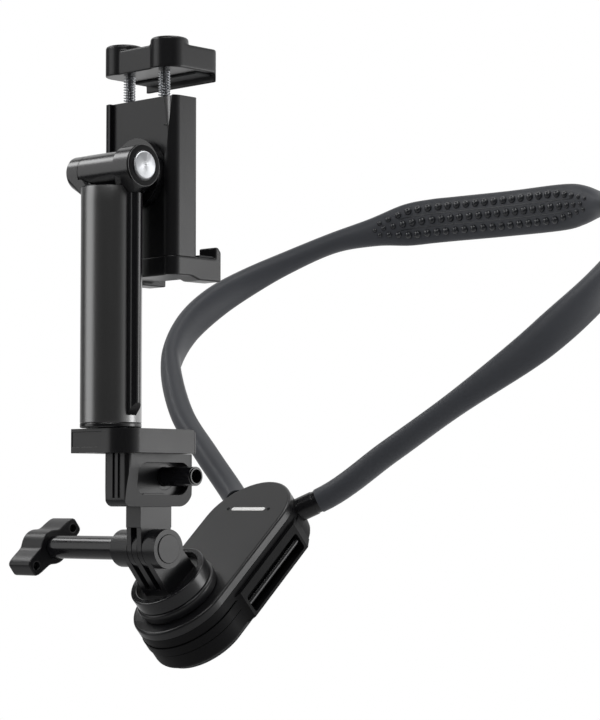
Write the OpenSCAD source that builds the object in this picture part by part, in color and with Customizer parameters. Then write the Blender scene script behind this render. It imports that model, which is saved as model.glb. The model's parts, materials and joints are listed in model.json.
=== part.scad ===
// Neck phone holder: a stiff loop round the neck, a chest base, a tilting arm and a sprung clamp.
// Millimetres, +Z up, -Y is where the wearer looks. The origin is the middle of the nape pad's
// inner face. Inside the modules a place is first given from the fork's pivot.

/* [Neck loop] */
// Half of the loop's width, on the tube's centre line
loop_half_w = 124; // [116:1:132]
// From the ferrule's end back to the nape
loop_depth = 165; // [152:1:178]
// From the ferrule's end up to the nape
loop_rise = 142; // [130:1:152]
// Diameter of the round stretches of the loop
tube_d = 10.6; // [10:0.1:11.6]
// Height of the nape pad
pad_h = 22.6; // [19:0.2:26]
// Thickness of the nape pad
pad_t = 9; // [8.2:0.1:10.4]
// Height of the flattened stretches at the sides of the neck
side_h = 16.5; // [13:0.5:20]
// Thickness of the flattened stretches
side_t = 9.6; // [8.6:0.1:10.4]
// Diameter of the bendable steel core
core_d = 5; // [4:0.1:5.2]
// Slack between the core and the rubber round it
core_slack = 0.5; // [0.4:0.05:0.6]
band_bore_d = core_d + 2 * core_slack;

/* [Chest base] */
// Width of the base
base_w = 46; // [43:0.5:49]
// Distance between the centres of its two round ends
arc_gap = 50; // [46:1:56]
// Thickness of the base without its pad
base_t = 21.5; // [20.5:0.5:25]
// Angle of the base above the horizontal
base_tilt = 42; // [36:1:48]
// Thickness of the front cover
cover_t = 4; // [3.4:0.1:4.2]
// Thickness of the soft pad on the chest side
chest_pad_t = 1.6; // [1.2:0.1:2.4]
// Thickness of the housing's back wall
back_wall_t = 2; // [1.8:0.1:2.6]
// Width of the hollow inside the housing
hollow_w = 32.8; // [32:0.2:33.4]
// Length of the strap slot in each side
slot_l = 40; // [32:1:42]
// Height of the strap slot
slot_h = 8.4; // [7:0.2:9]
// How deep the strap slot goes
slot_deep = 5.4; // [4.6:0.2:5.8]
// Diameter of the bar in the strap slot
slot_bar_d = 3; // [2.4:0.1:3.6]
// How far the side panels stand out from the base
panel_out = 1.6; // [1.2:0.1:2.2]
// Length of the pale strip on the face
strip_l = 20; // [16:1:24]
// Width of the pale strip
strip_w = 2; // [1.6:0.1:2.4]

/* [Arm roots] */
// Angle between each ferrule and the long axis of the base
ferrule_angle = 52; // [46:1:58]
// Where the ferrules leave the upper round end
ferrule_place_angle = 50; // [44:1:56]
// Outer diameter of a ferrule
ferrule_d = 10.4; // [10:0.1:10.6]
// Length of a ferrule outside the base
ferrule_l = 11; // [9:0.5:14]
// Depth of a ferrule's socket in the housing
socket_deep = 4; // [3:0.2:4.6]
// Ferrule axis below the face of the base
ferrule_drop = 9.7; // [9.5:0.1:10.5]

/* [Swivel turret] */
// Height of the fork's pivot above the face of the base
joint_h = 27; // [26:0.5:32]
// Diameter of the turret's flange
flange_d = 36.8; // [34:0.2:38]
// Top of the flange above the face
flange_top = 5.2; // [4.6:0.2:6]
// Diameter of the collar
collar_d = 34.8; // [33:0.2:36]
// Top of the collar above the face
collar_top = 11.6; // [10:0.2:12.4]
// Diameter of the spigot that turns in the cover
spigot_d = 14; // [12:0.5:14.5]

/* [Fork and thumb screw] */
// Radius of the knuckles round the pivot
knuckle_r = 8.2; // [7.6:0.1:8.6]
// Thickness of each prong of the fork
prong_t = 3; // [2.6:0.1:3.2]
// Clear width of each gap of the fork
prong_gap = 3.2; // [3:0.1:3.6]
// Length of the fork's boss on the knob side
boss_l = 7.8; // [6:0.2:9]
// Length of the fork's boss on the nut side
nut_boss_l = 4.4; // [4.2:0.1:6]
// Diameter of the screw
screw_d = 5; // [4.6:0.1:5.6]
// Width of the nut across its flats
nut_w = 8; // [7.6:0.1:8.6]
// Thickness of the nut
nut_t = 4; // [3.6:0.1:4.2]
// Diameter of the sleeve on the screw
sleeve_d = 10; // [9:0.2:11.6]
// Length of the sleeve
sleeve_l = 44; // [36:1:50]
// Length of the knob along the screw
knob_l = 14; // [12:0.5:16]
// Reach of the knob's wings
knob_reach = 16.4; // [14:0.2:18]
// Radius of the knob's waist
knob_waist = 7.4; // [6.6:0.2:8]

/* [Block and foot plate] */
// Top of the finger and bottom of the block, above the pivot
block_bottom = 17.5; // [16:0.5:19]
// Height of the block
block_h = 22; // [20:0.5:24]
// Width of the block at its top
block_w = 15; // [14.6:0.2:16]
// Width of the block at its bottom
block_foot_w = 11.6; // [10.8:0.2:12.4]
// Depth of the block from front to back
block_deep = 38; // [35:0.5:41]
// Depth of the finger from front to back
finger_deep = 17.6; // [16.6:0.2:19]
// Depth of the pocket in the block's side
pocket_deep = 5; // [4:0.2:5.4]
// Width of the foot plate
foot_w = 33; // [31:0.5:37]
// Depth of the foot plate
foot_deep = 42.5; // [40:0.5:46]
// Thickness of the foot plate
foot_t = 10; // [9:0.5:12]
// Diameter of the release pin
pin_d = 8; // [7.2:0.1:8.4]
// Diameter of the hole in the release pin
pin_hole_d = 5.8; // [5:0.1:6]
// How far the release pin stands out of the block's middle plane
pin_out = 22; // [19:0.5:25]
// Travel of the release pin
pin_travel = 2.5; // [1.5:0.1:2.8]

/* [Column] */
// Diameter of the column
column_d = 25.4; // [24:0.2:26.2]
// Length of the column's tube
column_l = 90; // [78:1:104]
// Height of the column's solid head
head_h = 7.5; // [6:0.5:10]
// Wall of the column's tube
column_wall = 1.8; // [1.4:0.1:2.6]
// Distance of the column's axis in front of the pivot
column_front = 21.5; // [21:0.5:24]
// How far the side rail stands out
rail_out = 4.2; // [3.4:0.1:5]
// Width of the side rail
rail_w = 5; // [4:0.2:6]
// Diameter of the spindle that turns in the foot plate
spindle_d = 10; // [8:0.5:11]

/* [Tilt hinge] */
// Radius of the middle knuckle and the left ear
barrel_r = 7.2; // [6.6:0.1:7.4]
// Radius of the right ear with its metal disc
ear_r = 8.6; // [8:0.1:9]
// Length of the hinge block's knuckle
barrel_l = 23; // [20:0.5:25]
// Length of the left ear
ear_left_l = 6.7; // [5.6:0.1:8]
// Length of the right ear
ear_right_l = 9.8; // [8:0.1:11]
// Offset of the middle knuckle to the left
barrel_off = 2; // [1:0.1:3]
// Diameter of the hinge pin
hinge_pin_d = 5; // [4:0.2:6]
// Diameter of the spun metal disc
disc_cap_d = 12; // [10.5:0.1:13]
// Diameter of the turning disc behind the hinge
spin_disc_d = 29; // [26:0.5:29.4]
// Thickness of the turning disc
spin_disc_t = 4; // [3:0.2:4.4]
// Diameter of the pin that the clamp turns on
spin_pin_d = 8; // [6:0.5:9]

/* [Clamp] */
// Width of the clamp's body
clamp_w = 44; // [42:0.5:48]
// Offset of the clamp to the left of the pin that it turns on
clamp_off = 2; // [1:0.1:2.2]
// Thickness of the clamp's body
clamp_t = 15; // [14:0.2:17]
// Height of the clamp's body
clamp_h = 75; // [70:1:80]
// Clamp's bottom below the hinge's axis
clamp_drop = 43.5; // [41:0.5:46]
// Depth of the channel in the clamp's front
channel_deep = 1.8; // [1.2:0.1:2]
// Width of the rail on each side of the channel
clamp_rail_w = 5.2; // [4.4:0.1:6]
// Height of the phone that the clamp holds at rest
grip_h = 76.7; // [70:0.1:84]
// Thickness of the phone's place
grip_t = 9; // [8:0.2:11]
// Thickness of the lower shelf
shelf_t = 8; // [7:0.2:9.4]
// Rise of the hooks at the edge of the shelf
hook_rise = 4; // [3:0.2:5]
// Thickness of the hooks
hook_t = 3.4; // [2.8:0.1:4.2]
// Thickness of each rubber pad
rubber_t = 1; // [0.8:0.1:1.4]
// Height of the top jaw
jaw_t = 10.2; // [9:0.2:12]
// Height of the lobes above the top jaw
lobe_up = 3; // [2:0.2:4]
// Radius of the lobes
lobe_r = 8; // [7.4:0.1:8.4]
// Distance between the two guide rods
rod_gap = 21.6; // [21:0.2:23]
// Diameter of a guide rod
rod_d = 2.8; // [2.4:0.1:3]
// Length of a guide rod below the top jaw
rod_l = 66; // [58:1:70]
// Outer diameter of a jaw spring
spring_d = 5.2; // [4.8:0.05:5.4]
// Diameter of the springs' wire
wire_d = 0.6; // [0.5:0.02:0.65]
// Pitch of the springs' turns
spring_pitch = 1.15; // [1.12:0.01:1.3]
// Turns of each jaw spring
spring_turns = 30; // [20:1:34]

/* [Hidden] */

// Clearances and small shared sizes
run = 0.06;         // radial clearance of a turning or sliding fit
gap = 0.3;          // clear distance between two bodies
seat = 0.05;        // clearance of a piece in its seat
over = 1;           // how far a cut runs past a face
edge = 1.2;         // usual rounding of a moulded edge
fine = 96;          // facets of a round that shows
plain = 48;         // facets of a small round
small_screw_d = 2.4;
small_head_d = 4.6;
small_head_t = 1.5;

// Places on the base, from the fork's pivot
base_r = base_w / 2;
base_origin = [0, joint_h * sin(base_tilt), -joint_h * cos(base_tilt)];
function from_base(p) = base_origin + [p.x, p.y * cos(base_tilt) - p.z * sin(base_tilt),
    p.y * sin(base_tilt) + p.z * cos(base_tilt)];
function base_way(v) = [v.x, v.y * cos(base_tilt) - v.z * sin(base_tilt),
    v.y * sin(base_tilt) + v.z * cos(base_tilt)];

// The ferrule's root, direction and end, on the +X side
root_inset = 1.5;
ferrule_root = [(base_r - root_inset) * sin(ferrule_place_angle),
    arc_gap + (base_r - root_inset) * cos(ferrule_place_angle), -ferrule_drop];
ferrule_way = [sin(ferrule_angle), cos(ferrule_angle), 0];
ferrule_end = ferrule_root + ferrule_way * ferrule_l;
loop_start = from_base(ferrule_end);
loop_way = base_way(ferrule_way);

// The half loop from the ferrule's end to the nape, as shares: across, back, up, the swell at the sides
// of the neck, and the nape pad's swell on the left and on the right, where the pad ends sooner
loop_shares = [[0.452, 0.067, 0.148, 0, 0, 0], [0.669, 0.127, 0.282, 0, 0, 0],
    [0.871, 0.224, 0.430, 0.72, 0, 0], [0.950, 0.290, 0.514, 1, 0, 0], [1, 0.388, 0.613, 1, 0, 0],
    [1, 0.497, 0.704, 0.95, 0, 0], [0.968, 0.612, 0.782, 0.6, 0, 0], [0.887, 0.727, 0.859, 0.15, 0, 0],
    [0.758, 0.830, 0.930, 0, 0, 0], [0.630, 0.910, 0.968, 0, 0.32, 0], [0.500, 0.957, 0.990, 0, 0.9, 0],
    [0.385, 0.977, 0.998, 0, 1, 0.7], [0.270, 0.990, 1, 0, 1, 1], [0, 1, 1, 0, 1, 1]];
loop_steps = 3;     // rings on each stretch between two points of the loop
band_sides = 12;
core_sides = 6;
function loop_point(s, pad) = concat([s[0] * loop_half_w, loop_start.y + s[1] * loop_depth,
    loop_start.z + s[2] * loop_rise],
    [tube_d + s[3] * (side_h - tube_d) + pad * (pad_h - tube_d),
     tube_d + s[3] * (side_t - tube_d) + pad * (pad_t - tube_d)]);
function half_loop(pad_at) = concat([concat(loop_start, [tube_d, tube_d])],
    [for (s = loop_shares) loop_point(s, s[pad_at])]);
left_loop = half_loop(4);
right_loop = half_loop(5);
function flipped(p) = concat([-p[0]], [for (i = [1:4]) p[i]]);
whole_loop = concat(right_loop, [for (i = [len(left_loop) - 2:-1:0]) flipped(left_loop[i])]);
loop_n = len(whole_loop);
// One more point before each end, so that the curve leaves along the ferrule
first_span = norm([for (i = [0:2]) right_loop[1][i] - right_loop[0][i]]);
function lead(p, s) = [p[0] - 2 * s * loop_way.x * first_span, p[1] - 2 * loop_way.y * first_span,
    p[2] - 2 * loop_way.z * first_span, p[3], p[4]];
loop_ctrl = concat([lead(whole_loop[1], 1)], whole_loop, [lead(whole_loop[loop_n - 2], -1)]);
function spline(a, b, c, d, t) = (2 * b + (c - a) * t + (2 * a - 5 * b + 4 * c - d) * t * t
    + (3 * b - a - 3 * c + d) * t * t * t) / 2;
loop_line = concat([for (i = [0:loop_n - 2], k = [0:loop_steps - 1])
    spline(loop_ctrl[i], loop_ctrl[i + 1], loop_ctrl[i + 2], loop_ctrl[i + 3], k / loop_steps)],
    [whole_loop[loop_n - 1]]);
line_n = len(loop_line);
function place_of(p) = [p[0], p[1], p[2]];
function unit(v) = v / norm(v);
function way_at(i) = i == 0 ? loop_way : i == line_n - 1 ? [loop_way.x, -loop_way.y, -loop_way.z]
    : unit(place_of(loop_line[i + 1]) - place_of(loop_line[i - 1]));
// A ring of the loop: a rounded oval, high upward and thick across
squareness = 0.86;
function bulge(c) = sign(c) * pow(abs(c), squareness);
function ring(place, way, high, thick, sides, power) = [for (k = [0:sides - 1])
    let (a = 360 * k / sides, t = unit([0, 0, 1] - way * way.z), s = cross(way, t),
         c = power ? bulge(cos(a)) : cos(a), d = power ? bulge(sin(a)) : sin(a))
    place + t * c * high / 2 + s * d * thick / 2];
function ring_at(i, high, thick, sides, power) = ring(place_of(loop_line[i]), way_at(i), high, thick,
    sides, power);
function tube_faces(rings, sides, base, flip) = [for (i = [0:rings - 2], k = [0:sides - 1])
    let (a = base + i * sides + k, b = base + i * sides + (k + 1) % sides, c = b + sides, d = a + sides)
    each flip ? [[a, c, b], [a, d, c]] : [[a, b, c], [a, c, d]]];

// The nape is the origin of the part
nape = [0, loop_start.y + loop_depth - pad_t / 2, loop_start.z + loop_rise];

// Fork and finger, across the pivot
fork_half = 1.5 * prong_t + prong_gap;
finger_slack = 0.25;
finger_in = prong_t / 2 + finger_slack;
finger_out = prong_t / 2 + prong_gap - finger_slack;
bore_r = screw_d / 2 + run;
boss_end = fork_half + boss_l;
nut_start = fork_half - prong_t / 4;
nut_end = nut_start + nut_t;
knob_start = boss_end + gap + sleeve_l;
knob_blind = knob_l * 0.7;
fork_foot_t = 3.4;
fork_foot_half = 9.4;

// Block, foot plate and column, upward from the pivot
block_top = block_bottom + block_h;
tenon = [6, 12, 5.5];
pin_y = 6.5;
pin_up = 12.5;
pin_z = block_bottom + pin_up;
pin_flange_d = 10.8;
pin_flange_t = 2.5;
pin_flange_x = -3.5;
bush_d = 11.2;
bush_t = 3.4;
pocket_floor = block_w / 2 - pocket_deep;
foot_top = block_top + foot_t;
foot_back = 12.5;
foot_front = foot_back - foot_deep;
foot_corner_r = 10;
column_start = foot_top + gap;
column_foot_t = 2;
tube_start = column_start + column_foot_t;
tube_end = tube_start + column_l;
head_top = tube_end + head_h;
hinge_z = head_top + gap + barrel_r;
column_r = column_d / 2;
plug_r = column_r - column_wall - seat;
plug_l = 7;
pan_nut_d = 13.4;
pan_nut_t = 2.9;

// Tilt hinge, along X from the hinge's middle
knuckle_left = -barrel_off - barrel_l / 2;
knuckle_right = -barrel_off + barrel_l / 2;
ear_left = knuckle_left - gap - ear_left_l;
ear_right = knuckle_right + gap + ear_right_l;
disc_cap_t = 1.2;

// Clamp, with y from the pivot and z upward from the pivot
jaw_proud = 2.3;
clamp_gap = 0.5;
clamp_front = column_r - column_front + clamp_gap + jaw_proud;
clamp_back = clamp_front + clamp_t;
panel_y = clamp_front + channel_deep;
clamp_bottom = hinge_z - clamp_drop;
clamp_top = clamp_bottom + clamp_h;
body_bottom = clamp_bottom + shelf_t;
grip_front = clamp_back + rubber_t;
grip_back = grip_front + grip_t;
grip_low = body_bottom + rubber_t;
grip_high = grip_low + grip_h;
jaw_bottom = grip_high + rubber_t;
jaw_top = jaw_bottom + jaw_t;
rod_in = 4;
rod_y = panel_y + rod_in;
spring_r = spring_d / 2;
spring_slack = 0.35;
spring_bore_r = spring_r + spring_slack;
spring_end = jaw_bottom - spring_turns * spring_pitch - wire_d;
anchor_t = 1.5;
spin_wall = 6.1;
spin_nut_d = 13;
spin_nut_t = 2.8;
spin_room_r = spin_nut_d / 2 + edge;

// Frames: the part's own, the base's, and helpers for cylinders across or along
module from_pivot() { translate(-nape) children(); }
module on_base() { from_pivot() translate(base_origin) rotate([base_tilt, 0, 0]) children(); }
module across(x0, x1, r, f = plain) { translate([x0, 0, 0]) rotate([0, 90, 0])
    cylinder(h = x1 - x0, r = r, $fn = f); }
module along_y(y0, y1, r, f = plain) { translate([0, y0, 0]) rotate([-90, 0, 0])
    cylinder(h = y1 - y0, r = r, $fn = f); }
module up(z0, z1, r, f = plain) { translate([0, 0, z0]) cylinder(h = z1 - z0, r = r, $fn = f); }
module block(low, high) { translate(low) cube(high - low); }
module rounded(low, high, r) {
    translate([low.x + r, low.y]) square([high.x - low.x - 2 * r, high.y - low.y]);
    translate([low.x, low.y + r]) square([high.x - low.x, high.y - low.y - 2 * r]);
    for (x = [low.x + r, high.x - r], y = [low.y + r, high.y - r]) translate([x, y]) circle(r, $fn = plain);
}
// A shape drawn in y and z, and given its width along X
module yz(x0, x1) { translate([x0, 0, 0]) rotate([90, 0, 90]) linear_extrude(x1 - x0) children(); }
// A shape drawn in x and z, and given its depth along Y
module xz(y0, y1) { translate([0, y1, 0]) rotate([90, 0, 0]) linear_extrude(y1 - y0) children(); }
// A solid of one section all round the base's long outline
module pill(profile) {
    for (y = [0, arc_gap]) translate([0, y, 0]) rotate_extrude($fn = fine) polygon(profile);
    translate([0, arc_gap, 0]) rotate([90, 0, 0]) linear_extrude(arc_gap) {
        polygon(profile);
        mirror([1, 0]) polygon(profile);
    }
}
function corner(r, z, round_r, from, steps = 5) = [for (i = [0:steps])
    let (a = from + 90 * i / steps) [r + round_r * cos(a), z + round_r * sin(a)]];
module screw_down(length, shank_d, head_d, head_t) {
    translate([0, 0, -length]) cylinder(h = length, d = shank_d, $fn = plain);
    cylinder(h = head_t, d = head_d, $fn = plain);
}

// Chest base
cover_screw_x = 11.4;
cover_screw_low = -6.6;
cover_screw_back = 14;
cover_screw_high = arc_gap - cover_screw_back;
cover_screws = [for (x = [cover_screw_x, -cover_screw_x], y = [cover_screw_low, cover_screw_high]) [x, y]];
cover_boss_r = 2.7;
cover_boss_l = 7;
hub_boss_t = 1.8;
retainer_d = 19;
retainer_t = 2;
retainer_top = -cover_t - hub_boss_t - gap;
module front_cover() { color("#1f1f21") on_base() difference() {
    union() {
        pill(concat([[0, -cover_t], [base_r, -cover_t]], corner(base_r - edge, -edge, edge, 0), [[0, 0]]));
        up(-cover_t - hub_boss_t, -cover_t / 2, retainer_d / 2);
        for (p = cover_screws) translate(p) up(-cover_t - cover_boss_l, -cover_t / 2, cover_boss_r);
    }
    up(-cover_t - hub_boss_t - over, over, spigot_d / 2 + run, fine);
    for (p = cover_screws) translate(p)
        up(-cover_t - cover_boss_l - over, -cover_t / 2, small_screw_d / 2 + seat);
    translate([0, 0, -strip_deep]) linear_extrude(strip_deep + over) strip_outline(seat);
} }
strip_deep = 0.8;
strip_up = 4.6;
module strip_outline(slack) { translate([0, arc_gap + strip_up])
    rounded([-strip_l / 2 - slack, -strip_w / 2 - slack], [strip_l / 2 + slack, strip_w / 2 + slack],
        strip_w / 2 - seat); }
module face_strip() { color("#d8d8d6") on_base() translate([0, 0, -strip_deep])
    linear_extrude(strip_deep + seat) strip_outline(0); }

housing_foot_r = 2.6;
groove_deep = 0.5;
groove_w = 0.5;
band_drop = 4.6;
band_out = 0.4;
slot_low = 11;
slot_below = 2;
slot_mid = -(cover_t + base_t) / 2 - slot_below;
panel_past = 4;
panel_low = slot_low - panel_past;
panel_high = slot_low + slot_l + panel_past;
panel_above = 3.8;
panel_top = slot_mid + slot_h / 2 + panel_above;
panel_slope = 5;
panel_x = base_r + panel_out;
module housing_outline() {
    pill(concat([[0, -base_t]], corner(base_r - housing_foot_r, housing_foot_r - base_t, housing_foot_r, -90),
        [[base_r, -cover_t - 2 * band_drop], [base_r - groove_deep, -cover_t - 2 * band_drop],
         [base_r - groove_deep, -cover_t - 2 * band_drop + groove_w],
         [base_r + band_out, -cover_t - 2 * band_drop + groove_w], [base_r + band_out, -cover_t - band_drop],
         [base_r - groove_deep, -cover_t - band_drop], [base_r - groove_deep, -cover_t - band_drop + groove_w],
         [base_r, -cover_t - band_drop + groove_w], [base_r, -cover_t], [0, -cover_t]]));
}
module side_panel() { translate([0, 0, -base_t + edge]) linear_extrude(panel_top + base_t - edge)
    polygon([[0, panel_low - panel_slope / 2], [base_r - edge, panel_low - panel_slope / 2],
        [panel_x, panel_low + panel_slope / 2], [panel_x, panel_high - panel_slope / 2],
        [base_r - edge, panel_high + panel_slope / 2], [0, panel_high + panel_slope / 2]]); }
module side_slot() { yz(panel_x - slot_deep, panel_x + over)
    rounded([slot_low, slot_mid - slot_h / 2], [slot_low + slot_l, slot_mid + slot_h / 2], edge); }
slot_bar_in = 1;
slot_bar_x = panel_x - slot_bar_d / 2 - slot_bar_in;
slot_bar_end = 1.2;
module slot_bar(slack) { translate([slot_bar_x, 0, slot_mid])
    along_y(slot_low - slot_bar_end - slack, slot_low + slot_l + slot_bar_end + slack, slot_bar_d / 2 + slack); }
module both_sides() { children(); mirror([1, 0, 0]) children(); }
module on_ferrule() { translate(ferrule_root) rotate([0, 0, -ferrule_angle]) children(); }
head_room = 0.3;
module rear_housing() { color("#1b1b1d") on_base() difference() {
    union() { housing_outline(); both_sides() side_panel(); }
    difference() {
        pill([[0, back_wall_t - base_t], [hollow_w / 2, back_wall_t - base_t],
            [hollow_w / 2, -cover_t + over], [0, -cover_t + over]]);
        for (p = cover_screws) translate(p) up(-base_t, -cover_t - cover_boss_l - seat, cover_boss_r);
    }
    for (p = cover_screws) translate([p.x, p.y, -base_t]) {
        up(-over, small_head_t + head_room, small_head_d / 2 + seat);
        up(-over, base_t, small_screw_d / 2 + seat);
    }
    both_sides() {
        side_slot();
        slot_bar(seat);
        on_ferrule() along_y(-socket_deep, ferrule_l, ferrule_d / 2 + seat);
        on_ferrule() along_y(-core_in - over, ferrule_l, core_d / 2 + core_slack);
    }
} }
module slot_bars() { color("#26282b") on_base() both_sides() slot_bar(0); }
module housing_screws() { color("#8a8c90") on_base() for (p = cover_screws)
    translate([p.x, p.y, small_head_t + head_room - base_t]) mirror([0, 0, 1])
        screw_down(base_t - cover_t - small_head_t - 2 * head_room, small_screw_d, small_head_d, small_head_t); }
module chest_pad() { color("#2b2c2e") on_base() translate([0, 0, -base_t - chest_pad_t])
    pill(concat([[0, 0]], corner(base_r - housing_foot_r - edge / 2, edge / 2, edge / 2, -90),
        [[base_r - housing_foot_r, chest_pad_t], [0, chest_pad_t]])); }

// The steel core runs past the ferrule into a clamp block inside the base
core_in = 13;
core_clamp_w = 20;
core_clamp_deep = 10;
core_clamp_cover = 4.4;
module core_clamp() { color("#77797d") on_base() difference() {
    block([-core_clamp_w / 2, arc_gap + over, back_wall_t - base_t],
        [core_clamp_w / 2, arc_gap + over + core_clamp_deep, core_clamp_cover - ferrule_drop]);
    both_sides() on_ferrule() along_y(-core_in - over, ferrule_l, core_d / 2 + seat);
} }
ferrule_ring_l = 2;
module ferrule() { on_ferrule() difference() {
    union() {
        along_y(-socket_deep, ferrule_l, ferrule_d / 2 - edge / 4);
        along_y(-socket_deep, ferrule_l - ferrule_ring_l, ferrule_d / 2);
    }
    along_y(-socket_deep - over, ferrule_l + over, core_d / 2 + core_slack);
} }
module ferrule_left() { color("#232325") on_base() ferrule(); }
module ferrule_right() { color("#232325") on_base() mirror([1, 0, 0]) ferrule(); }

// Neck loop: a rubber sleeve with a bore, and the bendable core in it
band_points = concat(
    [for (i = [0:line_n - 1]) each ring_at(i, loop_line[i][3], loop_line[i][4], band_sides, true)],
    [for (i = [0:line_n - 1]) each ring_at(i, band_bore_d, band_bore_d, core_sides, false)]);
inner_start = line_n * band_sides;
function end_faces(o, i, flip) = [let (outer = [for (k = [0:band_sides - 1]) o + k],
    inner = [for (k = [0:core_sides - 1]) i + k]) each ring_between(outer, inner, flip)];
function ring_between(a, b, flip) = [for (k = [0:len(a) + len(b) - 1])
    let (m = len(a), n = len(b), i = round(k * m / (m + n)), j = k - i,
         i2 = round((k + 1) * m / (m + n)), t = i2 > i ? [a[i % m], a[i2 % m], b[j % n]]
            : [a[i % m], b[(j + 1) % n], b[j % n]])
    flip ? [t[2], t[1], t[0]] : t];
module neck_band() { color("#4d4f53") from_pivot() polyhedron(points = band_points, faces = concat(
    tube_faces(line_n, band_sides, 0, false), tube_faces(line_n, core_sides, inner_start, true),
    end_faces(0, inner_start, true),
    end_faces((line_n - 1) * band_sides, inner_start + (line_n - 1) * core_sides, false)), convexity = 8); }
core_tail = ferrule_l + core_in;
function core_ring(place, i) = ring(place, way_at(i), core_d, core_d, core_sides, false);
core_points = concat(core_ring(loop_start - way_at(0) * core_tail, 0),
    [for (i = [0:line_n - 1]) each core_ring(place_of(loop_line[i]), i)],
    core_ring(place_of(loop_line[line_n - 1]) + way_at(line_n - 1) * core_tail, line_n - 1));
core_rings = line_n + 2;
module neck_core() { color("#9a9ca0") from_pivot() polyhedron(points = core_points, faces = concat(
    tube_faces(core_rings, core_sides, 0, false), [[for (k = [core_sides - 1:-1:0]) k]],
    [[for (k = [0:core_sides - 1]) (core_rings - 1) * core_sides + k]]), convexity = 8); }

// Swivel turret and fork, on the base
hub_centre_d = 4;
module turret_hub() { color("#1d1d1f") on_base() difference() {
    union() {
        rotate_extrude($fn = fine) polygon(concat([[0, gap], [flange_d / 2 - edge / 2, gap]],
            corner(flange_d / 2 - edge, flange_top - edge, edge, 0), [[0, flange_top]]));
        up(retainer_top, flange_top / 2, spigot_d / 2, fine);
    }
    up(retainer_top - over, flange_top + over, hub_centre_d / 2 + seat);
} }
collar_wall = 2.8;
module turret_collar() { color("#242426") on_base() rotate_extrude($fn = fine)
    polygon(concat([[collar_d / 2 - collar_wall, flange_top], [collar_d / 2, flange_top]],
        corner(collar_d / 2 - edge / 2, collar_top - edge / 2, edge / 2, 0),
        [[collar_d / 2 - collar_wall, collar_top]])); }
swivel_screw_up = 11;
module swivel_screw() { color("#8a8c90") on_base() translate([0, 0, retainer_top - retainer_t])
    mirror([0, 0, 1]) screw_down(swivel_screw_up - retainer_top + retainer_t, hub_centre_d, hub_centre_d * 1.8,
        hub_centre_d / 2); }
module swivel_retainer() { color("#8f9195") on_base() difference() {
    up(retainer_top - retainer_t, retainer_top, retainer_d / 2);
    up(retainer_top - retainer_t - over, retainer_top + over, hub_centre_d / 2 + seat);
} }
// One prong: a round head on a straight-sided leg
module prong(x0, x1) { yz(x0, x1) {
    translate([0, joint_h]) circle(knuckle_r, $fn = fine);
    polygon([[-fork_foot_half, flange_top + fork_foot_t / 2], [fork_foot_half, flange_top + fork_foot_t / 2],
        [knuckle_r, joint_h], [-knuckle_r, joint_h]]);
} }
module hex(x0, x1, flats) { translate([x0, 0, 0]) rotate([0, 90, 0])
    cylinder(h = x1 - x0, d = flats / cos(30), $fn = 6); }
fork_root_h = 6.8;
module fork() { color("#202022") on_base() difference() {
    union() {
        up(flange_top, flange_top + fork_foot_t, collar_d / 2 - collar_wall - seat, fine);
        prong(-prong_t / 2, prong_t / 2);
        prong(prong_t / 2 + prong_gap, fork_half);
        prong(-fork_half, -prong_t / 2 - prong_gap);
        intersection() {
            prong(-fork_half, fork_half);
            up(flange_top, flange_top + fork_root_h, collar_d, fine);
        }
        translate([0, 0, joint_h]) {
            across(-boss_end, -fork_half, knuckle_r - edge / 4, fine);
            across(fork_half, fork_half + nut_boss_l, knuckle_r, fine);
        }
    }
    translate([0, 0, joint_h]) {
        across(-boss_end - over, fork_half, bore_r, plain);
        hex(nut_start - seat, nut_end, nut_w + 2 * seat);
        across(nut_end, fork_half + nut_boss_l + over, nut_cap_d / 2 + seat, plain);
    }
    up(0, swivel_screw_up + over, hub_centre_d / 2 + seat);
} }
nut_cap_d = 12;
nut_cap_out = 0.4;
module fork_nut() { color("#8a8c90") on_base() translate([0, 0, joint_h]) difference() {
    hex(nut_start, nut_end - seat, nut_w);
    across(nut_start - over, nut_end + over, bore_r);
} }
module nut_cap() { color("#2a2a2c") on_base() translate([0, 0, joint_h])
    across(nut_end, fork_half + nut_boss_l + nut_cap_out, nut_cap_d / 2); }

// Thumb screw
module screw_shaft() { color("#9a9ca0") from_pivot()
    across(-knob_start - knob_blind, nut_end - gap, screw_d / 2); }
module screw_sleeve() { color("#1d1d1f") from_pivot() difference() {
    across(-knob_start, -boss_end - gap, sleeve_d / 2, fine);
    across(-knob_start - over, -boss_end, screw_d / 2 + seat);
} }
knob_turn = 38;
knob_points = 120;
wing_half_t = 4.3;
wing_corner = 6;    // higher is sharper at the wing's corners
waist_blend = 8;    // higher is sharper where the wings meet the waist
knob_hole_d = 3.4;
knob_hole_deep = 3;
function wing_radius(a) = pow(pow(abs(cos(a)) / knob_reach, wing_corner)
    + pow(abs(sin(a)) / wing_half_t, wing_corner), -1 / wing_corner);
function knob_radius(a) = pow(pow(wing_radius(a), waist_blend) + pow(knob_waist, waist_blend), 1 / waist_blend);
module screw_knob() { color("#19191b") from_pivot() difference() {
    yz(-knob_start - knob_l, -knob_start) polygon([for (i = [0:knob_points - 1])
        let (a = 360 * i / knob_points) knob_radius(a) * [cos(a + knob_turn), sin(a + knob_turn)]]);
    across(-knob_start - knob_blind, -knob_start + over, screw_d / 2 + seat);
    for (s = [-1, 1]) rotate([knob_turn, 0, 0]) translate([0, s * (knob_reach - knob_hole_d), 0])
        across(-knob_start - knob_hole_deep, -knob_start + over, knob_hole_d / 2);
} }

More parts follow.
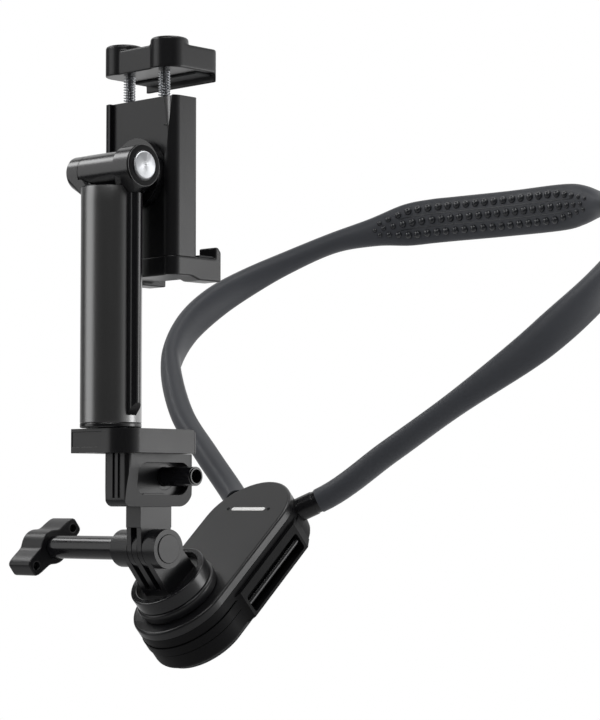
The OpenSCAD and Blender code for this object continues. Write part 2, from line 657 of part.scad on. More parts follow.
// Finger and block
finger_screw_y = -5;
finger_screw_d = 3;
finger_screw_in = 4;
finger_screw_end = block_bottom - finger_screw_in;
finger_slot_up = 0.6;
finger_slot_top = knuckle_r + finger_slot_up;
plate_screw_front = -10.5;
plate_screw_back = 7.5;
plate_screw_ys = [plate_screw_front, plate_screw_back];
plate_screw_l = 11.2;
plate_screw_end = foot_top - small_head_t - head_room - plate_screw_l;
module finger_mount() { color("#1f1f21") from_pivot() difference() {
    union() {
        for (s = [-1, 1]) scale([s, 1, 1]) yz(finger_in, finger_out) finger_outline(block_bottom);
        yz(-finger_out, finger_out) translate([-finger_deep / 2, finger_slot_top])
            square([finger_deep, block_bottom - finger_slot_top]);
        translate([0, 0, block_bottom]) linear_extrude(tenon.z) square([tenon.x, tenon.y], center = true);
    }
    across(-fork_half, fork_half, bore_r);
    translate([0, finger_screw_y, 0]) up(finger_screw_end - over / 4, block_top, finger_screw_d / 2 + seat);
} }
module finger_outline(top) {
    circle(knuckle_r, $fn = fine);
    polygon([[-knuckle_r, 0], [knuckle_r, 0], [finger_deep / 2, top], [-finger_deep / 2, top]]);
}
module finger_screw() { color("#8a8c90") from_pivot()
    translate([0, finger_screw_y, block_top - small_head_t - head_room])
        screw_down(block_top - small_head_t - head_room - finger_screw_end, finger_screw_d, small_head_d,
            small_head_t); }
ridge_w = 1.6;
ridge_out = 0.7;
block_back_r = 7;
pocket_rim = 2.6;
module block_housing() { color("#1c1c1e") from_pivot() difference() {
    union() {
        intersection() {
            xz(-block_deep / 2, block_deep / 2) polygon([[-block_foot_w / 2, block_bottom],
                [block_foot_w / 2, block_bottom], [block_w / 2, block_top - block_h / 4],
                [block_w / 2, block_top], [-block_w / 2, block_top],
                [-block_w / 2, block_top - block_h / 4]]);
            yz(-block_w, block_w) {
                rounded([-block_deep / 2, block_bottom], [0, block_top], 3 * edge);
                rounded([-block_deep / 4, block_bottom], [block_deep / 2, block_top + block_back_r],
                    block_back_r);
                translate([-block_deep / 2, block_top - block_h / 2]) square([block_deep, block_h / 2]);
            }
            linear_extrude(block_top) rounded([-block_w / 2, -block_deep / 2], [block_w / 2, block_deep / 2],
                2 * edge);
        }
        for (x = [-1, 1] * ridge_w) block([x - ridge_w / 2, -block_deep / 2 - ridge_out,
            block_bottom + 3 * edge], [x + ridge_w / 2, 0, block_top - seat]);
    }
    yz(pocket_floor, block_w) rounded([-block_deep / 3, block_bottom + 4 * edge],
        [block_deep / 2 - pocket_rim, block_top - 3 * edge], 4 * edge);
    linear_extrude(block_bottom + tenon.z + seat)
        square([tenon.x + 2 * seat, tenon.y + 2 * seat], center = true);
    translate([0, finger_screw_y, 0]) {
        up(0, block_top + over, finger_screw_d / 2 + seat);
        up(block_top - small_head_t - head_room, block_top + over, small_head_d / 2 + seat);
    }
    for (y = plate_screw_ys) translate([0, y, 0])
        up(plate_screw_end - gap, foot_top, small_screw_d / 2 + seat);
    translate([0, pin_y, pin_z]) across(pin_back, block_w, bush_d / 2 + seat);
} }
pin_back = edge - block_w / 2;
module pin_bush() { color("#77797d") from_pivot() translate([0, pin_y, pin_z]) difference() {
    across(pin_flange_x + pin_flange_t + gap / 3, pin_flange_x + pin_flange_t + bush_t, bush_d / 2);
    across(-block_w, block_w, pin_d / 2 + run);
} }
pin_hole_deep = 8;
spring_room_d = 5;
spring_room_l = 7;
module release_pin() { color("#232325") from_pivot() translate([0, pin_y, pin_z]) difference() {
    union() {
        across(pin_flange_x, pin_out - edge / 2, pin_d / 2, fine);
        across(pin_flange_x, pin_out, pin_d / 2 - edge / 2, fine);
        across(pin_flange_x, pin_flange_x + pin_flange_t, pin_flange_d / 2, fine);
    }
    across(pin_out - pin_hole_deep, pin_out + over, pin_hole_d / 2);
    across(pin_flange_x - over, pin_flange_x + spring_room_l, spring_room_d / 2 + seat);
} }
module pin_spring() { color("#a6a8ac") from_pivot() translate([0, pin_y, pin_z]) difference() {
    across(pin_flange_x, pin_flange_x + spring_room_l, spring_room_d / 2);
    across(pin_flange_x - over, pin_flange_x + spring_room_l + over, spring_room_d / 2 - wire_d);
} }

// Foot plate
window_w = 19;
window_edge = 1.3;
window_deep = 0.7;
ledge_t = 1.1;
foot_back_r = 4;
module foot_outline() {
    x = foot_w / 2;
    difference() {
        rounded([-x, foot_front], [x, foot_back], 2 * edge);
        translate([x - foot_corner_r, foot_front]) square([foot_corner_r + over, foot_corner_r]);
    }
    translate([x - foot_corner_r, foot_front + foot_corner_r]) circle(foot_corner_r, $fn = fine);
}
module foot_plate() { color("#222224") from_pivot() difference() {
    union() {
        intersection() {
            translate([0, 0, block_top]) linear_extrude(foot_t) foot_outline();
            yz(-foot_w, foot_w) {
                rounded([foot_front - foot_t, block_top - foot_t], [foot_back, foot_top], foot_back_r);
                translate([foot_front - foot_t, block_top]) square([foot_deep, foot_t]);
            }
        }
    }
    block([-foot_w / 2 + window_edge, foot_front - over, block_top + window_edge + ledge_t],
        [-foot_w / 2 + window_edge + window_w, foot_front + window_deep, foot_top - window_edge]);
    translate([0, -column_front, 0]) {
        up(block_top - over, foot_top + over, spindle_d / 2 + run, fine);
        up(block_top - over, pan_ledge, pan_nut_d / 2 + gap);
    }
    for (y = plate_screw_ys) translate([0, y, 0]) {
        up(block_top - over, foot_top + over, small_screw_d / 2 + seat);
        up(foot_top - small_head_t - head_room, foot_top + over, small_head_d / 2 + seat);
    }
} }
pan_ledge = block_top + pan_nut_t + 3 * gap;
module plate_screws() { color("#8a8c90") from_pivot() for (y = plate_screw_ys)
    translate([0, y, foot_top - small_head_t - head_room])
        screw_down(plate_screw_l, small_screw_d, small_head_d, small_head_t); }

// Column
module on_column() { from_pivot() translate([0, -column_front, 0]) children(); }
module column_foot() { color("#3a3a3d") on_column() {
    up(column_start, tube_start, column_r, fine);
    up(tube_start - seat, tube_start + plug_l, plug_r, plain);
    up(pan_ledge - gap - pan_nut_t, column_start + seat, spindle_d / 2, fine);
} }
module pan_nut() { color("#8a8c90") on_column() difference() {
    up(pan_ledge - gap - pan_nut_t, pan_ledge - gap, pan_nut_d / 2);
    up(block_top - over, foot_top, spindle_d / 2 + seat);
} }
module column_tube() { color("#17171a") on_column() difference() {
    up(tube_start, tube_end, column_r, fine);
    up(tube_start - over, tube_end + over, column_r - column_wall);
} }
rail_low = 3;
rail_slope = 5;
lug_h = 3.4;        // height of the lugs that carry the hinge's ears
rail_top = head_top - lug_h - gap / 3;
module side_rail() { color("#2a2a2d") on_column() difference() {
    xz(-rail_w / 2, rail_w / 2) polygon([[column_r / 2, tube_start + rail_low],
        [column_r, tube_start + rail_low], [column_r + rail_out, tube_start + rail_low + rail_slope],
        [column_r + rail_out, rail_top], [column_r / 2, rail_top]]);
    up(tube_start - over, rail_top + over, column_r + seat, fine);
} }
module on_hinge() { from_pivot() translate([0, -column_front, hinge_z]) children(); }
module ear(x0, x1, r) { translate([0, 0, hinge_z]) across(x0, x1, r, fine); }
module column_head() { color("#1b1b1e") on_column() difference() {
    union() {
        up(tube_end - plug_l, tube_end + seat, plug_r);
        up(tube_end, head_top, column_r, fine);
        hull() {
            block([-column_r + edge, -rail_w, head_top - lug_h], [-column_r / 2, rail_w, head_top]);
            ear(ear_left, knuckle_left - gap, barrel_r);
        }
        hull() {
            block([column_r / 2, -rail_w / 2, head_top - lug_h], [column_r + rail_out, rail_w / 2, head_top]);
            ear(knuckle_right + gap, ear_right, ear_r);
        }
    }
    translate([0, 0, hinge_z]) {
        across(knuckle_left - gap, knuckle_right + gap, barrel_r + gap, fine);
        across(ear_left - over, ear_right + over, hinge_pin_d / 2 + seat);
        across(ear_right - disc_cap_t, ear_right + over, disc_cap_d / 2 + seat);
        across(ear_left - over, ear_left + disc_cap_t, hinge_pin_d / 2 + edge + seat);
    }
} }
module hinge_pin() { color("#9a9ca0") on_hinge()
    across(ear_left + disc_cap_t, ear_right - disc_cap_t, hinge_pin_d / 2); }
module disc_cap() { color("#c9cbce") on_hinge() difference() {
    across(ear_right - disc_cap_t, ear_right - gap, disc_cap_d / 2, fine);
    across(ear_right - disc_cap_t / 2, ear_right + over, edge / 2);
} }
module end_cap() { color("#232325") on_hinge() {
    across(ear_left - edge / 2, ear_left + disc_cap_t, hinge_pin_d / 2 + edge);
} }

// Hinge block with the turning disc
spin_back = panel_y - gap;
trim_l = 15;
trim_deep = 1;
module hinge_block() { color("#1e1e20") on_hinge() difference() {
    union() {
        across(knuckle_left, knuckle_right, barrel_r, fine);
        along_y(0, spin_back + column_front - spin_disc_t / 2, barrel_r, fine);
        along_y(spin_back + column_front - spin_disc_t, spin_back + column_front, spin_disc_d / 2, fine);
    }
    across(knuckle_left - over, knuckle_right + over, hinge_pin_d / 2 + run);
    along_y(spin_pin_start, spin_back + column_front + over, spin_pin_d / 2 + seat);
    block([-barrel_off - trim_l / 2, -barrel_r - over, -barrel_r], [-barrel_off + trim_l / 2,
        trim_deep - barrel_r, barrel_r / 2]);
} }
spin_pin_start = hinge_pin_d;
module spin_pin() { color("#9a9ca0") on_hinge()
    along_y(spin_pin_start, panel_y + spin_wall + gap + spin_nut_t + column_front, spin_pin_d / 2); }
module spin_nut() { color("#8a8c90") on_hinge() difference() {
    along_y(panel_y + spin_wall + gap + column_front, panel_y + spin_wall + gap + spin_nut_t + column_front,
        spin_nut_d / 2);
    along_y(0, clamp_back + column_front, spin_pin_d / 2 + seat);
} }

// Clamp body and lower jaw
rail_round = 4.6;
back_round = 2.4;
facet_left = 14.6;
facet_edge = 1.4;
facet_tip_in = 3.6;
facet_l = 22;
facet_deep = 0.8;
module clamp_outline() {
    difference() {
        union() {
            rounded([-clamp_w / 2, clamp_front], [clamp_w / 2, clamp_back - back_round], rail_round);
            rounded([-clamp_w / 2, clamp_front + rail_round], [clamp_w / 2, clamp_back], back_round);
        }
        translate([-clamp_w / 2 + clamp_rail_w, clamp_front - over])
            square([clamp_w - 2 * clamp_rail_w, channel_deep + over]);
    }
}
module on_clamp() { from_pivot() translate([-clamp_off, 0, 0]) children(); }
module at_rods() { for (s = [-1, 1]) translate([s * rod_gap / 2, rod_y, 0]) children(); }
module clamp_body() { color("#1d1d1f") on_clamp() difference() {
    translate([0, 0, body_bottom]) linear_extrude(clamp_top - body_bottom) clamp_outline();
    at_rods() {
        up(spring_end - anchor_t, clamp_top + over, spring_bore_r);
        up(body_bottom - over, clamp_top, rod_d / 2 + run);
    }
    xz(clamp_front - over, panel_y + facet_deep) polygon([[facet_left, clamp_top + over],
        [clamp_w / 2 - facet_edge, clamp_top + over], [clamp_w / 2 - facet_tip_in, clamp_top - facet_l]]);
    translate([clamp_off, 0, hinge_z]) {
        along_y(panel_y - over, clamp_back, spin_pin_d / 2 + run, fine);
        along_y(panel_y + spin_wall, clamp_back + over, spin_room_r);
    }
} }
module spring_anchors() { color("#8a8c90") on_clamp() at_rods() difference() {
    up(spring_end - anchor_t, spring_end, spring_bore_r - seat);
    up(spring_end - anchor_t - over, spring_end + over, rod_d / 2 + run);
} }
pad_inset = 3;
module back_pad() { color("#333437") on_clamp() xz(clamp_back, clamp_back + rubber_t)
    rounded([-clamp_w / 2 + pad_inset, body_bottom + pad_inset],
        [clamp_w / 2 - pad_inset, clamp_top - pad_inset], edge); }
hook_w = 10;
hook_drop = 1.6;
module lower_jaw() { color("#1f1f21") on_clamp() difference() {
    union() {
        translate([0, 0, clamp_bottom]) linear_extrude(shelf_t) clamp_outline();
        block([-clamp_w / 2, clamp_back - clamp_t / 2, clamp_bottom], [clamp_w / 2, grip_front + grip_t / 2,
            body_bottom]);
        for (s = [-1, 1]) translate([s * (clamp_w - hook_w) / 2, 0, 0]) yz(-hook_w / 2, hook_w / 2)
            polygon([[clamp_back - clamp_t / 4, clamp_bottom], [grip_front, clamp_bottom - hook_drop],
                [grip_back + hook_t, clamp_bottom - hook_drop], [grip_back + hook_t, grip_low + hook_rise / 2],
                [grip_back + hook_t / 2, grip_low + hook_rise], [grip_back, grip_low + hook_rise],
                [grip_back, body_bottom], [clamp_back - clamp_t / 4, body_bottom]]);
    }
    at_rods() up(body_bottom - hook_rise, body_bottom + over, rod_d / 2 + run);
} }
module lower_jaw_pads() { color("#333437") on_clamp() for (s = [-1, 1])
    translate([s * (clamp_w - hook_w) / 2, 0, 0])
        block([edge / 2 - hook_w / 2, grip_front, body_bottom],
            [hook_w / 2 - edge / 2, grip_back - gap, grip_low]); }

// Top jaw, its rods and springs
jaw_front = clamp_front - jaw_proud;
jaw_back_t = 0.7 * jaw_t;
jaw_hook = 2.6;
module lobe() { rotate_extrude($fn = fine) polygon(concat([[0, jaw_bottom], [lobe_r, jaw_bottom]],
    corner(lobe_r - edge, jaw_top + lobe_up - edge, edge, 0), [[0, jaw_top + lobe_up]])); }
jaw_lip_t = 2.4;
jaw_corner_r = 4;
module jaw_side(top_front, top_back) { polygon([[jaw_front + lobe_r, jaw_bottom], [grip_back, jaw_bottom],
    [grip_back, jaw_bottom - rubber_t - jaw_hook],
    [grip_back + jaw_lip_t / 2, jaw_bottom - rubber_t - jaw_hook], [grip_back + jaw_lip_t, jaw_bottom],
    [grip_back + jaw_lip_t, top_back - edge], [grip_back + jaw_lip_t - edge, top_back],
    [clamp_back, top_front], [jaw_front + lobe_r, top_front]]); }
module top_jaw() { color("#1e1e20") on_clamp() difference() {
    union() {
        for (s = [-1, 1]) translate([s * (clamp_w / 2 - lobe_r), jaw_front + lobe_r, 0]) lobe();
        block([-clamp_w / 2 + lobe_r, jaw_front + edge, jaw_bottom],
            [clamp_w / 2 - lobe_r, clamp_back, jaw_top]);
        intersection() {
            union() {
                yz(-clamp_w / 2, clamp_w / 2) jaw_side(jaw_top, jaw_bottom + jaw_back_t);
                for (x = [-clamp_w / 2, clamp_w / 2 - 2 * lobe_r])
                    yz(x, x + 2 * lobe_r) jaw_side(jaw_top + lobe_up - seat, jaw_top + lobe_up - edge);
            }
            translate([0, 0, grip_high - jaw_t]) linear_extrude(2 * jaw_t + rubber_t)
                rounded([-clamp_w / 2, jaw_front], [clamp_w / 2, grip_back + jaw_lip_t], jaw_corner_r);
        }
    }
    at_rods() up(jaw_bottom - over, jaw_bottom + jaw_t / 2, rod_d / 2 + seat);
} }
module top_jaw_pad() { color("#333437") on_clamp()
    block([pad_inset - clamp_w / 2, grip_front, grip_high],
        [clamp_w / 2 - pad_inset, grip_back - gap, jaw_bottom]); }
module guide_rods() { color("#a6a8ac") on_clamp() at_rods()
    up(jaw_bottom - rod_l, jaw_bottom + jaw_t / 2 - seat, rod_d / 2); }

curl_rings = 8;
wire_sides = 6;
coil_r = (spring_d - wire_d) / 2;
coil_n = spring_turns * curl_rings;
function coil_point(i) = [coil_r * cos(360 * i / curl_rings), coil_r * sin(360 * i / curl_rings),
    spring_end + wire_d / 2 + i * spring_pitch / curl_rings];
function coil_ring(i) = let (a = 360 * i / curl_rings, out = [cos(a), sin(a), 0],
    way = unit([-sin(a) * coil_r * 2 * PI, cos(a) * coil_r * 2 * PI, spring_pitch]), side = cross(way, out))
    [for (k = [0:wire_sides - 1]) coil_point(i) + (out * cos(360 * k / wire_sides)
        + side * sin(360 * k / wire_sides)) * wire_d / 2];
module coil() { polyhedron(points = [for (i = [0:coil_n]) each coil_ring(i)],
    faces = concat(tube_faces(coil_n + 1, wire_sides, 0, false), [[for (k = [wire_sides - 1:-1:0]) k]],
        [[for (k = [0:wire_sides - 1]) coil_n * wire_sides + k]]), convexity = 10); }
module jaw_springs() { color("#b9bbbf") on_clamp() at_rods() coil(); }
spring_clear = min([for (i = [0:curl_rings], k = [0:2 * curl_rings])
    let (j = i + curl_rings / 2 + 1 + k, d = norm(coil_point(i) - coil_point(j))) d]) - wire_d;
echo(jaw_spring_least_gap = spring_clear);

front_cover();
rear_housing();
face_strip();
chest_pad();
housing_screws();
slot_bars();
core_clamp();
ferrule_left();
ferrule_right();
neck_band();
neck_core();
turret_hub();
turret_collar();
fork();
swivel_retainer();
swivel_screw();
fork_nut();
nut_cap();
screw_shaft();
screw_sleeve();
screw_knob();
finger_mount();
finger_screw();
block_housing();
pin_bush();
foot_plate();
plate_screws();
release_pin();
pin_spring();
column_foot();
column_tube();
side_rail();
column_head();
pan_nut();
hinge_pin();
disc_cap();
end_cap();
hinge_block();
spin_pin();
clamp_body();
spin_nut();
back_pad();
lower_jaw();
lower_jaw_pads();
spring_anchors();
top_jaw();
top_jaw_pad();
guide_rods();
jaw_springs();
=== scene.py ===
"""Looks of a neck phone holder: a silicone neck loop, a chest base, a tilting arm and a sprung clamp."""

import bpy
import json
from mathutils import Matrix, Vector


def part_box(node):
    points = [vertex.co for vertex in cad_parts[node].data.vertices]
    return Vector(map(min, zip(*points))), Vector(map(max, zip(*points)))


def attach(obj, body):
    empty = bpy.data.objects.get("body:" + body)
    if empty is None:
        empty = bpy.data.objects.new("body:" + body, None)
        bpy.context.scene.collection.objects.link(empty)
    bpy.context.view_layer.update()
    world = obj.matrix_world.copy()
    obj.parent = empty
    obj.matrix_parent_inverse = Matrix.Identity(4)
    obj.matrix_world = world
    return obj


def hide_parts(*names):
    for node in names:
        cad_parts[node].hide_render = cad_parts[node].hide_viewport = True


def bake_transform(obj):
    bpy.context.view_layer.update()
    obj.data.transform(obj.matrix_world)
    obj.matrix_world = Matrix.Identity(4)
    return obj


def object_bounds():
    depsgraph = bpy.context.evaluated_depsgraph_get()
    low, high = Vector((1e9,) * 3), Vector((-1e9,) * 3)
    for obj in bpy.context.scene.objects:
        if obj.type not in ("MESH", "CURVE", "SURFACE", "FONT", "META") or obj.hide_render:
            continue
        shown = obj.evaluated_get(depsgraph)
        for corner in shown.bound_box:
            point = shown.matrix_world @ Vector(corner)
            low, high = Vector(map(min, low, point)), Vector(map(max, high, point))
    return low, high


bl_info = {
    "name": "Neck phone holder",
    "version": (1, 0, 0),
    "blender": (4, 5, 0),
    "location": "View3D > Sidebar > Phone holder",
    "description": "Dresses a neck phone holder in moulded, anodised and silicone finishes",
    "category": "Object",
}

import json
import math

import bmesh
import bpy
from bpy.props import FloatProperty, FloatVectorProperty, IntProperty, PointerProperty
from mathutils import Matrix, Vector

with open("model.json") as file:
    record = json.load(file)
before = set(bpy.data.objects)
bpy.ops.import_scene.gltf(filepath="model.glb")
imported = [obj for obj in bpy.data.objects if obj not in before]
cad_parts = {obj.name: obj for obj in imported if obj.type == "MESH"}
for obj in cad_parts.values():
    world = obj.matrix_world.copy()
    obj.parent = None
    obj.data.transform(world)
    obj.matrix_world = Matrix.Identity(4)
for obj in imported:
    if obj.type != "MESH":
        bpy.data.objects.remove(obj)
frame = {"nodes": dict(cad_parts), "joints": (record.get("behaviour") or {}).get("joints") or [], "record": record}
cad_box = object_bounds()

MM = 0.001
JOINTS = {j["name"]: j for j in frame["joints"]}
PIVOT = Vector(JOINTS["fork_tilt"]["pos_m"])
HINGE = Vector(JOINTS["clamp_tilt"]["pos_m"])
TURRET_AXIS = Vector(JOINTS["turret_swivel"]["axis"]).normalized()
BODY_OF = {n: b for b, members in frame["record"]["behaviour"]["bodies"].items() for n in members}
# From the base's face up to the fork's pivot along the turret's axis, in millimetres
PIVOT_HEIGHT = 27


def linear(code):
    """An sRGB hex colour as the linear numbers that the shaders take."""
    parts = [int(code[i:i + 2], 16) / 255 for i in (1, 3, 5)]
    return tuple(c / 12.92 if c <= 0.04045 else ((c + 0.055) / 1.055) ** 2.4 for c in parts)


def spot(x, y, z):
    """A place given in millimetres from the fork's pivot."""
    return PIVOT + Vector((x, y, z)) * MM


def base_matrix():
    """The chest base's own frame: the turret's axis at the face, with the face as its XY plane."""
    tilt = math.atan2(-TURRET_AXIS.y, TURRET_AXIS.z)
    return Matrix.Translation(PIVOT - TURRET_AXIS * PIVOT_HEIGHT * MM) @ Matrix.Rotation(tilt, 4, "X")


# Colours and sizes that a user changes

def colour_choice(name, description, code):
    return FloatVectorProperty(name=name, description=description, subtype="COLOR", size=3, min=0, max=1,
                               default=linear(code))


def length_choice(name, description, default, low, high):
    return FloatProperty(name=name, description=description, unit="LENGTH", default=default, min=low,
                         max=high)


class HolderColours(bpy.types.PropertyGroup):
    moulding: colour_choice("Mouldings", "Moulded nylon and ABS parts", "#101012")
    tube: colour_choice("Column", "Gloss black tube", "#0d0d0f")
    silicone: colour_choice("Silicone", "Sleeve of the neck loop", "#36383d")
    # Painted shade: the nape pad's inner face is drawn in this darker colour, and the nubs and fine lines in half
    # of it
    pad: colour_choice("Nape pad", "Inner face of the nape pad and its nubs", "#303237")
    rubber: colour_choice("Rubber pads", "Pads of the clamp and the base", "#28292b")
    strip: colour_choice("Pale strip", "Strip on the face of the base", "#e2e2e0")
    steel: colour_choice("Steel", "Screws, rods and springs", "#c8cace")
    floor: colour_choice("Floor", "Floor and background", "#f6f6f6")


class HolderSizes(bpy.types.PropertyGroup):
    edge: length_choice("Moulded edge", "Rounding of the moulded edges", 0.00045, 0.0001, 0.001)
    nub_width: length_choice("Nub width", "Diameter of the nubs on the nape pad", 0.0040, 0.001, 0.005)
    nub_height: length_choice("Nub height", "How far the nubs stand out", 0.0018, 0.0003, 0.002)
    nub_pitch: length_choice("Nub pitch", "Distance between the nubs of a row", 0.0058, 0.003, 0.01)
    spring_width: length_choice("Spring width", "Outer diameter of the jaw springs", 0.0052, 0.003, 0.006)
    spring_wire: length_choice("Spring wire", "Diameter of the springs' wire", 0.0006, 0.0003, 0.001)
    spring_turns: IntProperty(name="Spring turns", description="Turns of each jaw spring", default=30, min=10,
                              max=40)


# Materials

def put(tree, kind, sockets=None, **settings):
    """Adds a node. Each socket gets a value, or a link from a (node, output) pair."""
    made = tree.nodes.new(kind)
    for key, value in settings.items():
        setattr(made, key, value)
    for key, value in (sockets or {}).items():
        if isinstance(value, tuple) and isinstance(value[0], bpy.types.Node):
            tree.links.new(value[0].outputs[value[1]], made.inputs[key])
        else:
            made.inputs[key].default_value = value
    return made


# Width of the faint clouds in a finish's colour and roughness, in millimetres
CLOUD = 14


def surfaced(name, colour, roughness, grain_mm, grain_depth_mm, mottle=0.06, uneven=0.06, fixed=None,
             ridges=None, shaded=None, tangent=None):
    """A material with its grain in the bump, a little uneven roughness and a slightly mottled colour."""
    made = bpy.data.materials.new(name)
    made.use_nodes = True
    tree = made.node_tree
    tree.nodes.clear()
    place = put(tree, "ShaderNodeTexCoord")
    cloud = put(tree, "ShaderNodeTexNoise", {"Vector": (place, "Object"), "Scale": 1 / (CLOUD * MM),
                                             "Detail": 3.0})
    dark = tuple(c * (1 - mottle) for c in colour)
    pale = tuple(min(1, c * (1 + mottle)) for c in colour)
    tone = put(tree, "ShaderNodeMix", {0: (cloud, 0), 6: (*dark, 1), 7: (*pale, 1)}, data_type="RGBA")
    # Painted shade: the colour blends towards a darker one by the share that a mesh attribute gives
    if shaded:
        share = put(tree, "ShaderNodeAttribute", attribute_name=shaded[0])
        tone = put(tree, "ShaderNodeMix", {0: (share, "Fac"), 6: (tone, 2), 7: (*shaded[1], 1)},
                   data_type="RGBA")
    grain = put(tree, "ShaderNodeTexNoise", {"Vector": (place, "Object"), "Scale": 1 / (grain_mm * MM),
                                             "Detail": 2.0})
    rough = put(tree, "ShaderNodeMapRange", {"Value": (cloud, 0), "To Min": roughness - uneven,
                                             "To Max": roughness + uneven})
    height = put(tree, "ShaderNodeMath", {0: (grain, 0), 1: grain_depth_mm * MM}, operation="MULTIPLY")
    if ridges:
        height = put(tree, "ShaderNodeMath", {0: (height, 0), 1: ridges(tree, place)}, operation="ADD")
    bump = put(tree, "ShaderNodeBump", {"Height": (height, 0), "Distance": 1.0, "Strength": 1.0})
    shader = put(tree, "ShaderNodeBsdfPrincipled", {"Base Color": (tone, 2), "Roughness": (rough, 0),
                                                    "Normal": (bump, 0), **(fixed or {})})
    if tangent:
        tree.links.new(tangent(tree, place), shader.inputs["Tangent"])
    put(tree, "ShaderNodeOutputMaterial", {"Surface": (shader, 0)})
    return made


def spark_eroded_abs(colour):
    # ABS from a spark-eroded mould: a fine even grain, satin, so highlights spread a little
    return surfaced("spark_eroded_abs", colour, 0.32, 0.7, 0.005, uneven=0.04, fixed={"IOR": 1.54})


def polished_abs(colour):
    # ABS from a polished mould: near-mirror highlights with a faint ripple
    return surfaced("polished_abs", colour, 0.2, 6.0, 0.006, uneven=0.03, fixed={"IOR": 1.54})


def lacquered_tube(colour):
    # Extruded aluminium under gloss black lacquer: long soft highlights with hardly any grain
    return surfaced("lacquered_tube", colour, 0.32, 0.4, 0.0002, uneven=0.02,
                    fixed={"IOR": 2.4, "Coat Weight": 1.0, "Coat IOR": 2.3, "Coat Roughness": 0.3})


def barrel_lacquer(colour):
    # The turned pieces of the hinge: thick gloss lacquer with one tight highlight along the top
    return surfaced("barrel_lacquer", colour, 0.24, 0.4, 0.0002, uneven=0.02, fixed={"IOR": 1.72})


def dull_black(colour):
    # Sunk and rear faces: matt from the mould, with little gloss, and the moulding colour darkened to 0.6 as
    # painted shade, so that they throw back little light
    return surfaced("dull_black", tuple(c * 0.6 for c in colour), 0.5, 0.7, 0.01, fixed={"IOR": 1.24})


def moulded_silicone(colour, pad):
    # Silicone rubber: matt with a soft bloom at grazing angles. The inner face of the nape pad carries painted
    # shade in the darker pad colour
    return surfaced("moulded_silicone", colour, 0.5, 0.9, 0.012, mottle=0.05, shaded=("pad_painted_shade", pad),
                    fixed={"IOR": 1.41, "Sheen Weight": 0.08, "Sheen Roughness": 0.5})


def nub_silicone(pad):
    # The nubs are polished in the mould, so each one carries a small highlight. Their colour is painted shade: the
    # pad colour halved
    dark = tuple(c * 0.5 for c in pad)
    return surfaced("nub_silicone", dark, 0.26, 0.9, 0.003, mottle=0.04, fixed={"IOR": 1.6})


def moulded_rubber(colour):
    # Nitrile pad: matt, with a coarser grain than the silicone
    return surfaced("nitrile_pad", colour, 0.68, 0.8, 0.03, mottle=0.1, fixed={"IOR": 1.5})


def opal_strip(colour):
    # Opal acrylic strip: pale, smooth, lets a little light in
    return surfaced("opal_acrylic", colour, 0.28, 1.5, 0.004, mottle=0.02, uneven=0.03,
                    fixed={"IOR": 1.49, "Subsurface Weight": 0.2, "Subsurface Radius": (0.001, 0.001, 0.001)})


def drawn_steel(colour):
    # Drawn and ground steel: bright, with fine scratches across
    return surfaced("drawn_steel", colour, 0.24, 0.5, 0.006, mottle=0.05, fixed={"Metallic": 1.0})


def zinc_screw(colour):
    # Zinc-plated screws: greyer and rougher than the rods
    return surfaced("zinc_plate", tuple(c * 0.7 for c in colour), 0.38, 0.9, 0.02, fixed={"Metallic": 1.0})


def cast_alloy():
    # Die-cast alloy of the pieces inside: dull grey skin
    return surfaced("die_cast_alloy", linear("#77797d"), 0.5, 0.9, 0.03, fixed={"Metallic": 1.0})


def spun_disc():
    # Faced aluminium: concentric turning marks, drawn coarser than real ones to show, whose gloss spreads
    # across them in bright fans
    mark_pitch, mark_depth = 0.25 * MM, 0.003 * MM

    def across_marks(tree, place):
        arm = put(tree, "ShaderNodeVectorMath", {0: (place, "Object"), 1: tuple(HINGE)}, operation="SUBTRACT")
        turn = put(tree, "ShaderNodeVectorMath", {0: (1, 0, 0), 1: (arm, 0)}, operation="CROSS_PRODUCT")
        way = put(tree, "ShaderNodeVectorMath", {0: (turn, 0)}, operation="NORMALIZE")
        return way.outputs[0]

    def marks(tree, place):
        centred = put(tree, "ShaderNodeMapping", {"Vector": (place, "Object"), "Location": tuple(-HINGE)})
        wave = put(tree, "ShaderNodeTexWave", {"Vector": (centred, 0), "Scale": 1 / mark_pitch / math.tau,
                                               "Distortion": 0.4}, wave_type="RINGS", rings_direction="X")
        deep = put(tree, "ShaderNodeMath", {0: (wave, 1), 1: mark_depth}, operation="MULTIPLY")
        return (deep, 0)

    return surfaced("faced_aluminium", linear("#dcdee1"), 0.4, 0.6, 0.0005, uneven=0.02, ridges=marks,
                    tangent=across_marks, fixed={"Metallic": 1.0, "Anisotropic": 0.97})


FINISHES = {}


def finishes():
    """Makes every material once, from the colours in the panel."""
    if FINISHES:
        return FINISHES
    c = bpy.context.scene.holder_colours
    FINISHES.update(
        abs=spark_eroded_abs(tuple(c.moulding)),
        gloss=polished_abs(tuple(c.moulding)),
        tube=lacquered_tube(tuple(c.tube)),
        silicone=moulded_silicone(tuple(c.silicone), tuple(c.pad)),
        nub=nub_silicone(tuple(c.pad)),
        dull=dull_black(tuple(c.moulding)),
        barrel=barrel_lacquer(tuple(c.tube)),
        rubber=moulded_rubber(tuple(c.rubber)),
        strip=opal_strip(tuple(c.strip)),
        steel=drawn_steel(tuple(c.steel)),
        screw=zinc_screw(tuple(c.steel)),
        cast=cast_alloy(),
        disc=spun_disc())
    return FINISHES


# Meshes

def set_material(ob, key):
    ob.data.materials.clear()
    ob.data.materials.append(finishes()[key])
    return ob


# Edges above this angle stay sharp, in degrees
SHARP = 32


def smooth(mesh, angle):
    mesh.shade_smooth()
    mesh.set_sharp_from_angle(angle=math.radians(angle))


def new_object(name, mesh):
    ob = bpy.data.objects.new(name, mesh)
    bpy.context.scene.collection.objects.link(ob)
    return ob


def object_from(bm, name, angle=None):
    """Turns an edit mesh into an object, smooth over every edge below the angle where one is given."""
    mesh = bpy.data.meshes.new(name)
    bm.to_mesh(mesh)
    bm.free()
    if angle:
        smooth(mesh, angle)
    return new_object(name, mesh)


